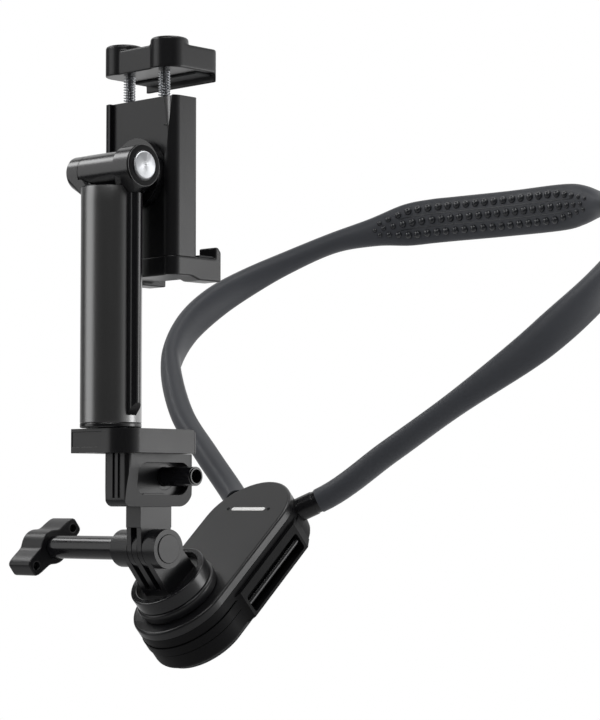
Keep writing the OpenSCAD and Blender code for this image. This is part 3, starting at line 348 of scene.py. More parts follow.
def shell_from(bm, name, angle=None):
    """The same for a closed shell, with its faces turned outwards."""
    bmesh.ops.recalc_face_normals(bm, faces=bm.faces)
    return object_from(bm, name, angle)


def welded(node, flat=True):
    """An edit mesh of a solid: its loose triangles joined, and each flat face made whole if flat is set."""
    bm = bmesh.new()
    bm.from_mesh(frame["nodes"][node].data)
    bmesh.ops.remove_doubles(bm, verts=bm.verts, dist=2e-6)
    if flat:
        bmesh.ops.dissolve_limit(bm, angle_limit=math.radians(0.5), verts=bm.verts, edges=bm.edges)
    return bm


def bridge(bm, first, second, closed=True):
    """Joins two rows of points with quads, round to the start if they are closed."""
    for i in range(len(first) if closed else len(first) - 1):
        k = (i + 1) % len(first)
        bm.faces.new((first[i], first[k], second[k], second[i]))


def settled(ob):
    """Turns an object's modifiers into plain mesh."""
    graph = bpy.context.evaluated_depsgraph_get()
    mesh = bpy.data.meshes.new_from_object(ob.evaluated_get(graph), preserve_all_data_layers=True,
                                           depsgraph=graph)
    ob.modifiers.clear()
    ob.data = mesh
    return ob


def finished(ob, body, key, slot, *nodes):
    """Gives a piece its finish, its body and the solids that it stands for."""
    set_material(ob, key)
    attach(ob, body)
    if nodes:
        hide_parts(*nodes)
    return ob


def softened(node, key, slot, edge=None, angle=SHARP, segments=3, less=None):
    """The solid with its edges rounded as a mould rounds them, after less is cut from it.

    The bevel is held back to what a piece's smallest edges leave room for, or its skin would fold.
    """
    ob = object_from(welded(node), node + "_moulded", angle)
    width = bpy.context.scene.holder_sizes.edge if edge is None else edge
    if less:
        cut = ob.modifiers.new("cut", "BOOLEAN")
        cut.operation, cut.object, cut.solver = "DIFFERENCE", less, "EXACT"
    if width:
        bevel = ob.modifiers.new("edge", "BEVEL")
        bevel.width, bevel.segments = width, segments
        bevel.limit_method, bevel.angle_limit = "ANGLE", math.radians(angle)
        bevel.use_clamp_overlap, bevel.miter_outer = True, "MITER_ARC"
    normals = ob.modifiers.new("normals", "WEIGHTED_NORMAL")
    normals.keep_sharp = True
    settled(ob)
    if less:
        bpy.data.objects.remove(less)
    return finished(ob, BODY_OF[node], key, slot, node)


# Cell of the skin that the jaws are wrapped in, in millimetres
SKIN_CELL = 0.36


def relaxed(node, key, slot, passes):
    """The solid as a thick moulding: skinned anew and relaxed, so every edge and inside corner is rounded."""
    ob = object_from(welded(node, flat=False), node + "_moulded")
    skin = ob.modifiers.new("skin", "REMESH")
    skin.mode, skin.voxel_size, skin.use_smooth_shade = "VOXEL", SKIN_CELL * MM, True
    relax = ob.modifiers.new("relax", "SMOOTH")
    relax.factor, relax.iterations = 0.5, passes
    thin = ob.modifiers.new("thin", "DECIMATE")
    thin.decimate_type, thin.ratio = "COLLAPSE", 0.5
    settled(ob)
    ob.data.shade_smooth()
    return finished(ob, BODY_OF[node], key, slot, node)


def revolved(name, profile, origin, axis, sides=128):
    """A turned piece: profile is (radius, height) in millimetres along axis."""
    bm = bmesh.new()
    turn = Vector((0, 0, 1)).rotation_difference(Vector(axis)).to_matrix()
    rings = []
    for radius, height in profile:
        if radius <= 0:
            rings.append([bm.verts.new(Vector(origin) + turn @ Vector((0, 0, height * MM)))])
            continue
        ring = []
        for i in range(sides):
            a = 2 * math.pi * i / sides
            ring.append(bm.verts.new(Vector(origin) + turn @ Vector((
                radius * MM * math.cos(a), radius * MM * math.sin(a), height * MM))))
        rings.append(ring)
    for a, b in zip(rings, rings[1:]):
        for i in range(sides):
            j = (i + 1) % sides
            corners = [a[i % len(a)], a[j % len(a)], b[j % len(b)], b[i % len(b)]]
            corners = list(dict.fromkeys(corners))
            if len(corners) > 2:
                bm.faces.new(corners)
    return shell_from(bm, name, SHARP)


# Neck loop

# The loop's route, from its start at a ferrule to the nape: across, back and up as shares of the half width,
# depth and rise, then the swell at the sides of the neck, and the nape pad's swell on the left and the right
LOOP = ((0.452, 0.067, 0.148, 0, 0, 0), (0.669, 0.127, 0.282, 0, 0, 0), (0.871, 0.224, 0.430, 0.72, 0, 0),
        (0.950, 0.290, 0.514, 1, 0, 0), (1, 0.388, 0.613, 1, 0, 0), (1, 0.497, 0.704, 0.95, 0, 0),
        (0.968, 0.612, 0.782, 0.6, 0, 0), (0.887, 0.727, 0.859, 0.15, 0, 0), (0.758, 0.830, 0.930, 0, 0, 0),
        (0.630, 0.910, 0.968, 0, 0.32, 0), (0.500, 0.957, 0.990, 0, 0.9, 0), (0.385, 0.977, 0.998, 0, 1, 0.7),
        (0.270, 0.990, 1, 0, 1, 1), (0, 1, 1, 0, 1, 1))
# The route's start on the right, from the fork's pivot, and its half width, depth and rise, in millimetres
LOOP_START = Vector((25.1381, 77.0173, 19.962))
LOOP_WIDTH, LOOP_DEPTH, LOOP_RISE = 124.0, 165.0, 142.0
# In millimetres: the sleeve's width where it is round, and its height and thickness at the sides of the neck
# and at the pad
TUBE, SIDE_HIGH, SIDE_THICK, PAD_HIGH, PAD_THICK = 10.6, 16.5, 9.6, 22.6, 9.0
# How square the sleeve's section is: 1 gives an ellipse, less gives fuller corners
FULLNESS = 0.86
# The way that the right ferrule leaves the base, turned from the base's long axis in the plane of its face
FERRULE_TURN = math.radians(52)
FERRULE_WAY = base_matrix().to_3x3() @ Vector((math.sin(FERRULE_TURN), math.cos(FERRULE_TURN), 0))


def loop_controls():
    """The loop's control points, from its right end round to its left one."""
    def control(row, side):
        across, back, up, swell, pad_left, pad_right = row
        pad = pad_left if side < 0 else pad_right
        return [side * across * LOOP_WIDTH, LOOP_START.y + back * LOOP_DEPTH, LOOP_START.z + up * LOOP_RISE,
                TUBE + swell * (SIDE_HIGH - TUBE) + pad * (PAD_HIGH - TUBE),
                TUBE + swell * (SIDE_THICK - TUBE) + pad * (PAD_THICK - TUBE), pad]

    right = [[*LOOP_START, TUBE, TUBE, 0]] + [control(row, 1) for row in LOOP]
    left = [[-LOOP_START.x, LOOP_START.y, LOOP_START.z, TUBE, TUBE, 0]]
    left += [control(row, -1) for row in LOOP[:-1]]
    return right + left[::-1]


def between(a, b, c, d, t):
    """A number on the smooth curve from b to c, with a and d as their neighbours, at the share t."""
    return (2 * b + (c - a) * t + (2 * a - 5 * b + 4 * c - d) * t * t + (3 * b - a - 3 * c + d) * t ** 3) / 2


def loop_stations(steps):
    """Points along the loop: place, direction, height, thickness and the pad's swell."""
    points = loop_controls()
    span = 2 * (Vector(points[1][:3]) - Vector(points[0][:3])).length
    way = FERRULE_WAY
    ends = [[p[0] - side * way.x * span, p[1] - way.y * span, p[2] - way.z * span, *p[3:]]
            for p, side in ((points[1], 1), (points[-2], -1))]
    knots = [ends[0]] + points + [ends[1]]
    line = []
    for i in range(len(points) - 1):
        for k in range(steps):
            line.append([between(*near, k / steps) for near in zip(*knots[i:i + 4])])
    line.append(points[-1])
    out = []
    for i, p in enumerate(line):
        if i == 0:
            d = way.copy()
        elif i == len(line) - 1:
            d = Vector((way.x, -way.y, -way.z))
        else:
            d = (Vector(line[i + 1][:3]) - Vector(line[i - 1][:3])).normalized()
        out.append((Vector(p[:3]), d, p[3], p[4], max(0.0, min(1.0, p[5]))))
    return out


def loop_frame(way):
    """The upward and the crosswise direction of the sleeve's section."""
    up = (Vector((0, 0, 1)) - way * way.z).normalized()
    return up, way.cross(up)


def make_sleeve():
    """The sleeve as one skin along the loop, with the share of painted shade on the nape pad's inner face kept on
    each point.
    """
    sides, blend_width = 36, 2.2
    bm = bmesh.new()
    rings, shade = [], []
    for place, way, high, thick, pad in loop_stations(10):
        up, across = loop_frame(way)
        inner = -1 if across.y > 0 else 1
        ring = []
        for k in range(sides):
            a = 2 * math.pi * k / sides
            c, s = math.cos(a), math.sin(a)
            c, s = math.copysign(abs(c) ** FULLNESS, c), math.copysign(abs(s) ** FULLNESS, s)
            ring.append(bm.verts.new(PIVOT + (place + up * c * high / 2 + across * s * thick / 2) * MM))
            # Painted shade: the share of the darker pad colour, full on the inner face of the nape pad
            shade.append(pad * max(0.0, min(1.0, 0.5 + inner * s * blend_width)))
        rings.append(ring)
    for a, b in zip(rings, rings[1:]):
        bridge(bm, a, b)
    bm.faces.new(rings[0][::-1])
    bm.faces.new(rings[-1])
    ob = shell_from(bm, "neck_sleeve", 50)
    ob.data.attributes.new("pad_painted_shade", "FLOAT", "POINT")
    ob.data.attributes["pad_painted_shade"].data.foreach_set("value", shade)
    return ob


def pad_point(station, share):
    """A place on the inner face of the loop, a share of its half height up, and the way it faces."""
    place, way, high, thick, pad = station
    up, across = loop_frame(way)
    side = (1 - abs(share) ** (2 / FULLNESS)) ** (FULLNESS / 2)
    inward = across if across.y < 0 else -across
    normal = (inward * high / 2 * side + up * share * thick / 2).normalized()
    return PIVOT + (place + up * share * high / 2 + inward * side * thick / 2) * MM, normal


# How far the sleeve has swollen to the nape pad, as a share, where the nubs start and where the lines start
PAD_START, LINE_START = 0.3, 0.85
# Rows of nubs: share of the pad's half height, and how far the row is shifted in pitches
NUB_ROWS = ((0.56, 0.0), (0.0, 0.5), (-0.56, 0.15))
# Over this many pitches from each end the rows close up, down to these shares of their spread, size and pitch
END_RUN, END_SPREAD, END_SIZE, END_PITCH = 4, 0.55, 0.5, 0.8
# The fine lines between the rows: their shares of the pad's half height, half width and height in millimetres
LINE_ROWS, LINE_HALF, LINE_HEIGHT = (0.28, -0.28), 0.22, 0.16


def pad_stations():
    """The stations that the nape pad covers, each with its distance along the loop in millimetres."""
    stations = loop_stations(120)
    along, run = [], 0.0
    for i, station in enumerate(stations):
        if i:
            run += (station[0] - stations[i - 1][0]).length
        along.append((run, station))
    return [item for item in along if item[1][4] > PAD_START]


def nub_points():
    """Where the nubs stand: staggered rows on the pad's inner face that close up and shrink at both ends."""
    pitch = bpy.context.scene.holder_sizes.nub_pitch / MM
    pad = pad_stations()
    first, last = pad[0][0], pad[-1][0]
    points = []
    for share, shift in NUB_ROWS:
        at = first + pitch * (0.3 + shift)
        while at < last - pitch * 0.2:
            station = next(item for run, item in pad if run >= at)
            inside = min(1, min(at - first, last - at) / (END_RUN * pitch))
            spread, size, step = (low + (1 - low) * inside for low in (END_SPREAD, END_SIZE, END_PITCH))
            points.append((*pad_point(station, share * spread), size))
            at += pitch * step
    return points


def pad_lines():
    """Two fine raised lines between the rows of nubs."""
    bm = bmesh.new()
    half, high = LINE_HALF * MM, LINE_HEIGHT * MM
    pad = [station for run, station in pad_stations() if station[4] > LINE_START][::6]
    for share in LINE_ROWS:
        rings = []
        for station in pad:
            place, normal = pad_point(station, share)
            side = station[1].cross(normal).normalized()
            rings.append([bm.verts.new(place + side * x * half + normal * z * high)
                          for x, z in ((1, -0.6), (0.7, 0.8), (-0.7, 0.8), (-1, -0.6))])
        for a, b in zip(rings, rings[1:]):
            bridge(bm, a, b)
        bm.faces.new(rings[0][::-1])
        bm.faces.new(rings[-1])
    return shell_from(bm, "nape_lines", 60)


def growth_tree(name, lengths):
    """A geometry tree with its inputs, which are points, some numbers and a finish, and its output."""
    tree = bpy.data.node_groups.new(name, "GeometryNodeTree")
    face = tree.interface
    face.new_socket("Geometry", in_out="INPUT", socket_type="NodeSocketGeometry")
    for length in lengths:
        face.new_socket(length, in_out="INPUT", socket_type="NodeSocketFloat")
    face.new_socket("Finish", in_out="INPUT", socket_type="NodeSocketMaterial")
    face.new_socket("Geometry", in_out="OUTPUT", socket_type="NodeSocketGeometry")
    return tree, put(tree, "NodeGroupInput")


def close_tree(tree, given, placed):
    """Turns the placed copies into one smooth mesh with the finish, as the tree's result."""
    real = put(tree, "GeometryNodeRealizeInstances", {"Geometry": (placed, 0)})
    soft = put(tree, "GeometryNodeSetShadeSmooth", {"Geometry": (real, 0)})
    coated = put(tree, "GeometryNodeSetMaterial", {"Geometry": (soft, 0), "Material": (given, "Finish")})
    put(tree, "NodeGroupOutput", {"Geometry": (coated, 0)})
    return tree


def nub_tree():
    """Geometry nodes: a low dome on each point, turned to the surface."""
    tree, given = growth_tree("nape_nubs", ("Width", "Height"))
    dome = put(tree, "GeometryNodeMeshUVSphere", {"Segments": 14, "Rings": 8, "Radius": 0.5})
    flat = put(tree, "ShaderNodeCombineXYZ", {"X": (given, "Width"), "Y": (given, "Width"),
                                              "Z": (given, "Height")})
    shaped = put(tree, "GeometryNodeTransform", {"Geometry": (dome, 0), "Scale": (flat, 0)})
    normal = put(tree, "GeometryNodeInputNamedAttribute", {"Name": "stand"}, data_type="FLOAT_VECTOR")
    size = put(tree, "GeometryNodeInputNamedAttribute", {"Name": "size"}, data_type="FLOAT")
    turn = put(tree, "FunctionNodeAlignRotationToVector", {"Vector": (normal, 0)}, axis="Z")
    placed = put(tree, "GeometryNodeInstanceOnPoints", {
        "Points": (given, "Geometry"), "Instance": (shaped, 0), "Rotation": (turn, 0), "Scale": (size, 0)})
    return close_tree(tree, given, placed)


def grown(name, points, tree, inputs):
    """Runs a geometry tree on a cloud of points and keeps the plain mesh."""
    mesh = bpy.data.meshes.new(name)
    mesh.from_pydata([p[0] for p in points], [], [])
    mesh.attributes.new("stand", "FLOAT_VECTOR", "POINT")
    mesh.attributes.new("size", "FLOAT", "POINT")
    mesh.attributes["stand"].data.foreach_set("vector", [c for p in points for c in p[1]])
    mesh.attributes["size"].data.foreach_set("value", [p[2] for p in points])
    ob = new_object(name, mesh)
    modifier = ob.modifiers.new("growth", "NODES")
    modifier.node_group = tree
    for item in tree.interface.items_tree:
        if item.item_type == "SOCKET" and item.in_out == "INPUT" and item.name in inputs:
            modifier[item.identifier] = inputs[item.name]
    return settled(ob)


class HOLDER_OT_neck_loop(bpy.types.Operator):
    """Makes the silicone sleeve of the neck loop and the nubs of its nape pad"""
    bl_idname = "holder.neck_loop"
    bl_label = "Neck loop"

    def execute(self, context):
        sizes = context.scene.holder_sizes
        sleeve = finished(make_sleeve(), "base", "silicone", "silicone", "neck_band")
        # The nubs and the fine lines are drawn in the halved pad colour, which is painted shade
        nubs = grown("nape_nubs", nub_points(), nub_tree(), {
            "Width": sizes.nub_width, "Height": sizes.nub_height * 2, "Finish": finishes()["nub"]})
        finished(nubs, "base", "nub", "silicone")
        finished(pad_lines(), "base", "nub", "silicone")
        set_material(frame["nodes"]["neck_core"], "steel")
        for node in ("ferrule_left", "ferrule_right"):
            softened(node, "gloss", "satin_black")
        return {"FINISHED"}


# Chest base, turret, thumb screw and arm

# The dimples at both ends of the pale strip: where they are on the base's face, and their profile as radius
# and height, all in millimetres
STRIP_DOT_X, STRIP_DOT_Y = 12.3, 54.6
STRIP_DOT = ((0, 0.03), (0.5, 0.03), (0.62, 0.12), (0.8, 0.12), (0.9, -0.2), (0, -0.2))


class HOLDER_OT_chest_base(bpy.types.Operator):
    """Dresses the chest base: cover, housing, strip, slots and soft pad"""
    bl_idname = "holder.chest_base"
    bl_label = "Chest base"

    def execute(self, context):
        softened("front_cover", "abs", "satin_black", edge=0.0007, segments=4)
        # The rear housing is drawn in the darker matt finish, whose colour is painted shade
        softened("rear_housing", "dull", "satin_black", edge=0.0003)
        softened("face_strip", "strip", "pale_strip", edge=0.0001)
        softened("chest_pad", "rubber", "soft_pad", edge=0)
        softened("slot_bars", "gloss", "dark_bar", edge=0)
        for side, x in (("left", -STRIP_DOT_X), ("right", STRIP_DOT_X)):
            place = base_matrix() @ (Vector((x, STRIP_DOT_Y, 0)) * MM)
            dot = revolved("strip_dot_" + side, STRIP_DOT, place, TURRET_AXIS, 32)
            # The dimples are drawn in the darker matt finish, whose colour is painted shade
            finished(dot, "base", "dull", "satin_black")
        set_material(frame["nodes"]["housing_screws"], "screw")
        set_material(frame["nodes"]["core_clamp"], "cast")
        return {"FINISHED"}


class HOLDER_OT_turret(bpy.types.Operator):
    """Dresses the swivel turret and its fork"""
    bl_idname = "holder.turret"
    bl_label = "Swivel turret"

    def execute(self, context):
        softened("turret_hub", "abs", "satin_black")
        softened("turret_collar", "gloss", "satin_black")
        softened("fork", "abs", "satin_black", edge=0.0003)
        softened("nut_cap", "abs", "satin_black", edge=0.0002)
        for node in ("swivel_retainer", "swivel_screw", "fork_nut"):
            set_material(frame["nodes"][node], "screw")
        return {"FINISHED"}


class HOLDER_OT_thumb_screw(bpy.types.Operator):
    """Dresses the thumb screw: shaft, sleeve and winged knob"""
    bl_idname = "holder.thumb_screw"
    bl_label = "Thumb screw"

    def execute(self, context):
        softened("screw_knob", "abs", "satin_black", edge=0.0006, angle=40)
        softened("screw_sleeve", "gloss", "satin_black")
        set_material(frame["nodes"]["screw_shaft"], "steel")
        return {"FINISHED"}


class HOLDER_OT_arm_block(bpy.types.Operator):
    """Dresses the finger, the block, the release pin and the foot plate"""
    bl_idname = "holder.arm_block"
    bl_label = "Arm block"

    def execute(self, context):
        softened("finger_mount", "abs", "satin_black")
        softened("block_housing", "abs", "satin_black", edge=0.0006, segments=4)
        softened("foot_plate", "abs", "satin_black", edge=0.0007, segments=4)
        softened("release_pin", "gloss", "satin_black", edge=0)
        for node in ("finger_screw", "plate_screws"):
            set_material(frame["nodes"][node], "screw")
        softened("pin_bush", "abs", "cast_grey", edge=0.0001)
        set_material(frame["nodes"]["pin_spring"], "steel")
        return {"FINISHED"}


# Column and hinge

# In millimetres: the rounding of the side rail's long edges, the place of the tube's top end from the fork's
# pivot, and the ends of the hinge's barrel and its radius
RAIL_ROUNDING = 2.3
TUBE_TOP = (0, -21.5, 141.8)
BARREL_LEFT, BARREL_RIGHT, BARREL_RADIUS = -13.4, 9.4, 7.26
# Profiles of turned pieces, as radius and height in millimetres: the spun button from the hinge's outer face,
# the dark ring round it, and the band under the column's head from the tube's top end
BUTTON = ((0, 1.12), (0.35, 1.12), (0.6, 1.32), (5.2, 1.4), (5.45, 1.32), (5.9, 0.8), (5.98, 0.6),
          (5.98, -0.85), (0, -0.85))
END_RING = ((6.1, 0.2), (6.25, 0.36), (8.3, 0.36), (8.55, 0.26), (8.66, 0.04), (8.66, -0.8), (6.1, -0.8),
            (6.1, 0.2))
HEAD_BAND = ((12.0, -0.5), (12.706, -0.5), (12.72, 0), (12.74, 7.0), (12.6, 7.4), (12.0, 7.45), (12.0, -0.5))


def rounded_rail():
    """The column's side rail with its two long outer edges rounded nearly into a half circle."""
    low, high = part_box("side_rail")
    bm = welded("side_rail")
    outer = [e for e in bm.edges if e.calc_length() > (high.z - low.z) / 2
             and all(v.co.x > high.x - 0.1 * MM for v in e.verts)]
    bmesh.ops.bevel(bm, geom=outer, offset=RAIL_ROUNDING * MM, segments=10, profile=0.5, affect="EDGES")
    return object_from(bm, "side_rail_moulded", SHARP)


class HOLDER_OT_column(bpy.types.Operator):
    """Dresses the column, its side rail, its head and the hinge that it carries"""
    bl_idname = "holder.column"
    bl_label = "Column"

    def execute(self, context):
        softened("column_tube", "tube", "gloss_black", edge=0.0002)
        softened("column_foot", "barrel", "satin_black", edge=0.0005)
        finished(rounded_rail(), "column", "gloss", "satin_black", "side_rail")
        softened("column_head", "barrel", "gloss_black", edge=0.0003)
        softened("end_cap", "barrel", "gloss_black", edge=0.0004)
        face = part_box("disc_cap")[1].x
        end = HINGE + Vector((face - HINGE.x, 0, 0))
        button = revolved("hinge_button", BUTTON, end, (1, 0, 0))
        finished(button, "column", "disc", "disc_metal", "disc_cap")
        ring = revolved("hinge_end_ring", END_RING, end, (1, 0, 0))
        # The ring is drawn in the darker matt finish, whose colour is painted shade
        finished(ring, "column", "dull", "gloss_black")
        band = revolved("column_head_band", HEAD_BAND, spot(*TUBE_TOP), (0, 0, 1))
        finished(band, "column", "tube", "gloss_black")
        set_material(frame["nodes"]["pan_nut"], "screw")
        set_material(frame["nodes"]["hinge_pin"], "steel")
        return {"FINISHED"}


class HOLDER_OT_tilt_head(bpy.types.Operator):
    """Dresses the hinge block with its turning disc"""
    bl_idname = "holder.tilt_head"
    bl_label = "Tilt head"

    def execute(self, context):
        softened("hinge_block", "barrel", "gloss_black", edge=0.0003)
        left, right, radius, corner = BARREL_LEFT, BARREL_RIGHT, BARREL_RADIUS, 0.26
        barrel = revolved("hinge_barrel", (
            (0, left), (radius - corner, left), (radius, left + corner), (radius, right - corner),
            (radius - corner, right), (0, right)), HINGE, (1, 0, 0))
        finished(barrel, "tilt_head", "barrel", "gloss_black")
        set_material(frame["nodes"]["spin_pin"], "steel")
        set_material(frame["nodes"]["spin_nut"], "screw")
        return {"FINISHED"}


# Clamp

# The tapered hollow beside the clamp's right rail, in millimetres from the fork's pivot: its left and right
# edge and its lowest point across, its top and height, the face that it is cut in, and its depth
SCOOP_LEFT, SCOOP_RIGHT, SCOOP_TIP = 12.6, 18.6, 16.4
SCOOP_TOP, SCOOP_HEIGHT, SCOOP_FACE, SCOOP_DEPTH = 188.3, 22.0, -4.2, 0.8
# What is cut from the rail beside it: the cut's left edge, its start below the hollow's top, how far the rail
# stands out, and the slope below
RAIL_LEFT, RAIL_START, RAIL_PROUD, RAIL_SLOPE = 14.7, 12.0, 2.0, 5.0


def spring_tree():
    """Geometry nodes: one coil of round wire on each point."""
    tree, given = growth_tree("jaw_springs", ("Radius", "Wire", "Height", "Turns"))
    coil = put(tree, "GeometryNodeCurveSpiral", {
        "Resolution": 18, "Rotations": (given, "Turns"), "Start Radius": (given, "Radius"),
        "End Radius": (given, "Radius"), "Height": (given, "Height")})
    section = put(tree, "GeometryNodeCurvePrimitiveCircle", {"Resolution": 10, "Radius": (given, "Wire")})
    wire = put(tree, "GeometryNodeCurveToMesh", {"Curve": (coil, 0), "Profile Curve": (section, 0),
                                                 "Fill Caps": True})
    placed = put(tree, "GeometryNodeInstanceOnPoints", {"Points": (given, "Geometry"), "Instance": (wire, 0)})
    return close_tree(tree, given, placed)


def rail_sliver():
    """What the hollow leaves of the rail on its left, down to a slope just below the hollow's point."""
    foot = SCOOP_TOP - SCOOP_HEIGHT
    # On the right the cut runs a little past the hollow's left edge, so that no skin stays between them
    corners = ((RAIL_LEFT, SCOOP_TOP - RAIL_START), (RAIL_LEFT, foot - RAIL_SLOPE), (SCOOP_TIP + 0.1, foot),
               (SCOOP_TIP - 0.5, foot + 5.0))
    bm = bmesh.new()
    front = [bm.verts.new(spot(x, SCOOP_FACE - RAIL_PROUD, z)) for x, z in corners]
    back = [bm.verts.new(spot(x, SCOOP_FACE, z)) for x, z in corners]
    bm.faces.new(front)
    bm.faces.new(back[::-1])
    bridge(bm, back, front)
    return shell_from(bm, "rail_sliver")


def panel_scoop():
    """The lining of the tapered hollow: a cone's wall, wide at the top and running to a point below."""
    rows, cols = 24, 12
    edge_gap, least_half, face_gap, floor_gap = 0.05, 0.02, 0.04, 0.01
    # The hollow's deepest line lies a little left of its middle, and its wall stays clear of the full depth
    lean, fill = 1.12, 0.92
    bm = bmesh.new()
    grid = []
    for i in range(rows + 1):
        t = i / rows
        left = min(SCOOP_LEFT + (SCOOP_TIP - SCOOP_LEFT) * t + edge_gap, SCOOP_TIP - least_half)
        right = max(SCOOP_RIGHT + (SCOOP_TIP - SCOOP_RIGHT) * t - edge_gap, SCOOP_TIP + least_half)
        row = []
        for k in range(cols + 1):
            u = k / cols
            hollow = math.sin(math.pi * min(1, u * lean)) * (1 - t) * SCOOP_DEPTH * fill
            row.append(bm.verts.new(spot(left + (right - left) * u, SCOOP_FACE + hollow + face_gap,
                                         SCOOP_TOP - SCOOP_HEIGHT * t)))
        grid.append(row)
    floor = PIVOT.y + (SCOOP_FACE + SCOOP_DEPTH - floor_gap) * MM
    back = [[bm.verts.new((v.co.x, floor, v.co.z)) for v in row] for row in grid]
    for i in range(rows):
        bridge(bm, grid[i], grid[i + 1], closed=False)
        bridge(bm, back[i + 1], back[i], closed=False)
    rim = [grid[0], [r[-1] for r in grid], grid[-1][::-1], [r[0] for r in grid][::-1]]
    far = [back[0], [r[-1] for r in back], back[-1][::-1], [r[0] for r in back][::-1]]
    for near_side, far_side in zip(rim, far):
        bridge(bm, far_side, near_side, closed=False)
    return shell_from(bm, "panel_scoop", 50)


class HOLDER_OT_clamp(bpy.types.Operator):
    """Dresses the clamp's body, its lower jaw and the rubber pads"""
    bl_idname = "holder.clamp"
    bl_label = "Clamp body"

    def execute(self, context):
        softened("clamp_body", "abs", "satin_black", edge=0.0004, less=rail_sliver())
        relaxed("lower_jaw", "abs", "satin_black", passes=8)
        finished(panel_scoop(), "clamp", "tube", "satin_black")
        softened("back_pad", "rubber", "soft_pad", edge=0.0003)
        softened("lower_jaw_pads", "rubber", "soft_pad", edge=0.0003)
        set_material(frame["nodes"]["spring_anchors"], "screw")
        return {"FINISHED"}


class HOLDER_OT_jaw(bpy.types.Operator):
    """Dresses the top jaw, its rods and the springs that pull it down"""
    bl_idname = "holder.jaw"
    bl_label = "Top jaw"

    def execute(self, context):
        sizes = context.scene.holder_sizes
        relaxed("top_jaw", "abs", "satin_black", passes=12)
        softened("top_jaw_pad", "rubber", "soft_pad", edge=0.0003)
        set_material(frame["nodes"]["guide_rods"], "steel")
        low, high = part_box("jaw_springs")
        foot = (low + high) / 2
        points = [(Vector((x, foot.y, low.z + sizes.spring_wire / 2)), (0, 0, 1), 1.0)
                  for x in (low.x + sizes.spring_width / 2, high.x - sizes.spring_width / 2)]
        springs = grown("jaw_coils", points, spring_tree(), {
            "Radius": (sizes.spring_width - sizes.spring_wire) / 2, "Wire": sizes.spring_wire / 2,
            "Height": high.z - low.z - sizes.spring_wire, "Turns": float(sizes.spring_turns),
            "Finish": finishes()["steel"]})
        set_material(springs, "steel")
        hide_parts("jaw_springs")
        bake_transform(springs)
        return {"FINISHED"}


# Stage

# What gloss sees of the room on the camera's side and of the backdrop behind the object
GLOSS_NEAR, GLOSS_FAR = 0.03, 0.9


def floor_finish(colour):
    """Pale floor: white to the camera, shadow only near the object, and dim to gloss on the near side."""
    made = bpy.data.materials.new("pale_floor")
    made.use_nodes = True
    tree = made.node_tree
    tree.nodes.clear()
    path = put(tree, "ShaderNodeLightPath")
    place = put(tree, "ShaderNodeTexCoord")
    middle = ((cad_box[0] + cad_box[1]) / 2).to_2d().to_3d()
    apart = put(tree, "ShaderNodeVectorMath", {0: (place, "Object"), 1: tuple(middle)}, operation="DISTANCE")
    far = put(tree, "ShaderNodeMapRange", {"Value": (apart, "Value"), "From Min": 0.5, "From Max": 1.1},
              interpolation_type="SMOOTHSTEP")
    glow = put(tree, "ShaderNodeMath", {0: (path, "Is Camera Ray"), 1: 0.5}, operation="MULTIPLY")
    matt = put(tree, "ShaderNodeBsdfDiffuse", {"Color": (*colour, 1)})
    light = put(tree, "ShaderNodeEmission", {"Color": (1, 1, 1, 1), "Strength": (glow, 0)})
    near = put(tree, "ShaderNodeAddShader", {0: (matt, 0), 1: (light, 0)})
    white = put(tree, "ShaderNodeMapRange", {"Value": (path, "Is Camera Ray"), "To Min": 0.5, "To Max": 1.0})
    open_floor = put(tree, "ShaderNodeEmission", {"Color": (1, 1, 1, 1), "Strength": (white, 0)})
    seen = put(tree, "ShaderNodeMixShader", {0: (far, 0), 1: (near, 0), 2: (open_floor, 0)})
    split = put(tree, "ShaderNodeSeparateXYZ", {0: (place, "Object")})
    back = put(tree, "ShaderNodeMapRange", {"Value": (split, "Y"), "From Min": -0.7, "From Max": 0.5,
                                            "To Min": GLOSS_NEAR, "To Max": GLOSS_FAR})
    shine = put(tree, "ShaderNodeEmission", {"Color": (1, 1, 1, 1), "Strength": (back, 0)})
    both = put(tree, "ShaderNodeMixShader", {0: (path, "Is Glossy Ray"), 1: (seen, 0), 2: (shine, 0)})
    put(tree, "ShaderNodeOutputMaterial", {"Surface": (both, 0)})
    return made


def studio_world():
    """White to the camera. Gloss sees the white backdrop behind the object and a dim room in front of it."""
    world = bpy.data.worlds.new("studio")
    world.use_nodes = True
    tree = world.node_tree
    tree.nodes.clear()
    path = put(tree, "ShaderNodeLightPath")
    way = put(tree, "ShaderNodeTexCoord")
    split = put(tree, "ShaderNodeSeparateXYZ", {0: (way, "Generated")})
    back = put(tree, "ShaderNodeMapRange", {"Value": (split, "Y"), "From Min": -0.1, "From Max": 0.9,
                                            "To Min": GLOSS_NEAR, "To Max": GLOSS_FAR})
    soft = put(tree, "ShaderNodeMix", {0: (path, "Is Glossy Ray"), 2: 0.5, 3: (back, 0)}, data_type="FLOAT")
    strength = put(tree, "ShaderNodeMix", {0: (path, "Is Camera Ray"), 2: (soft, 0), 3: 1.0},
                   data_type="FLOAT")
    sky = put(tree, "ShaderNodeBackground", {"Color": (1, 1, 1, 1), "Strength": (strength, 0)})
    put(tree, "ShaderNodeOutputWorld", {"Surface": (sky, 0)})
    return world


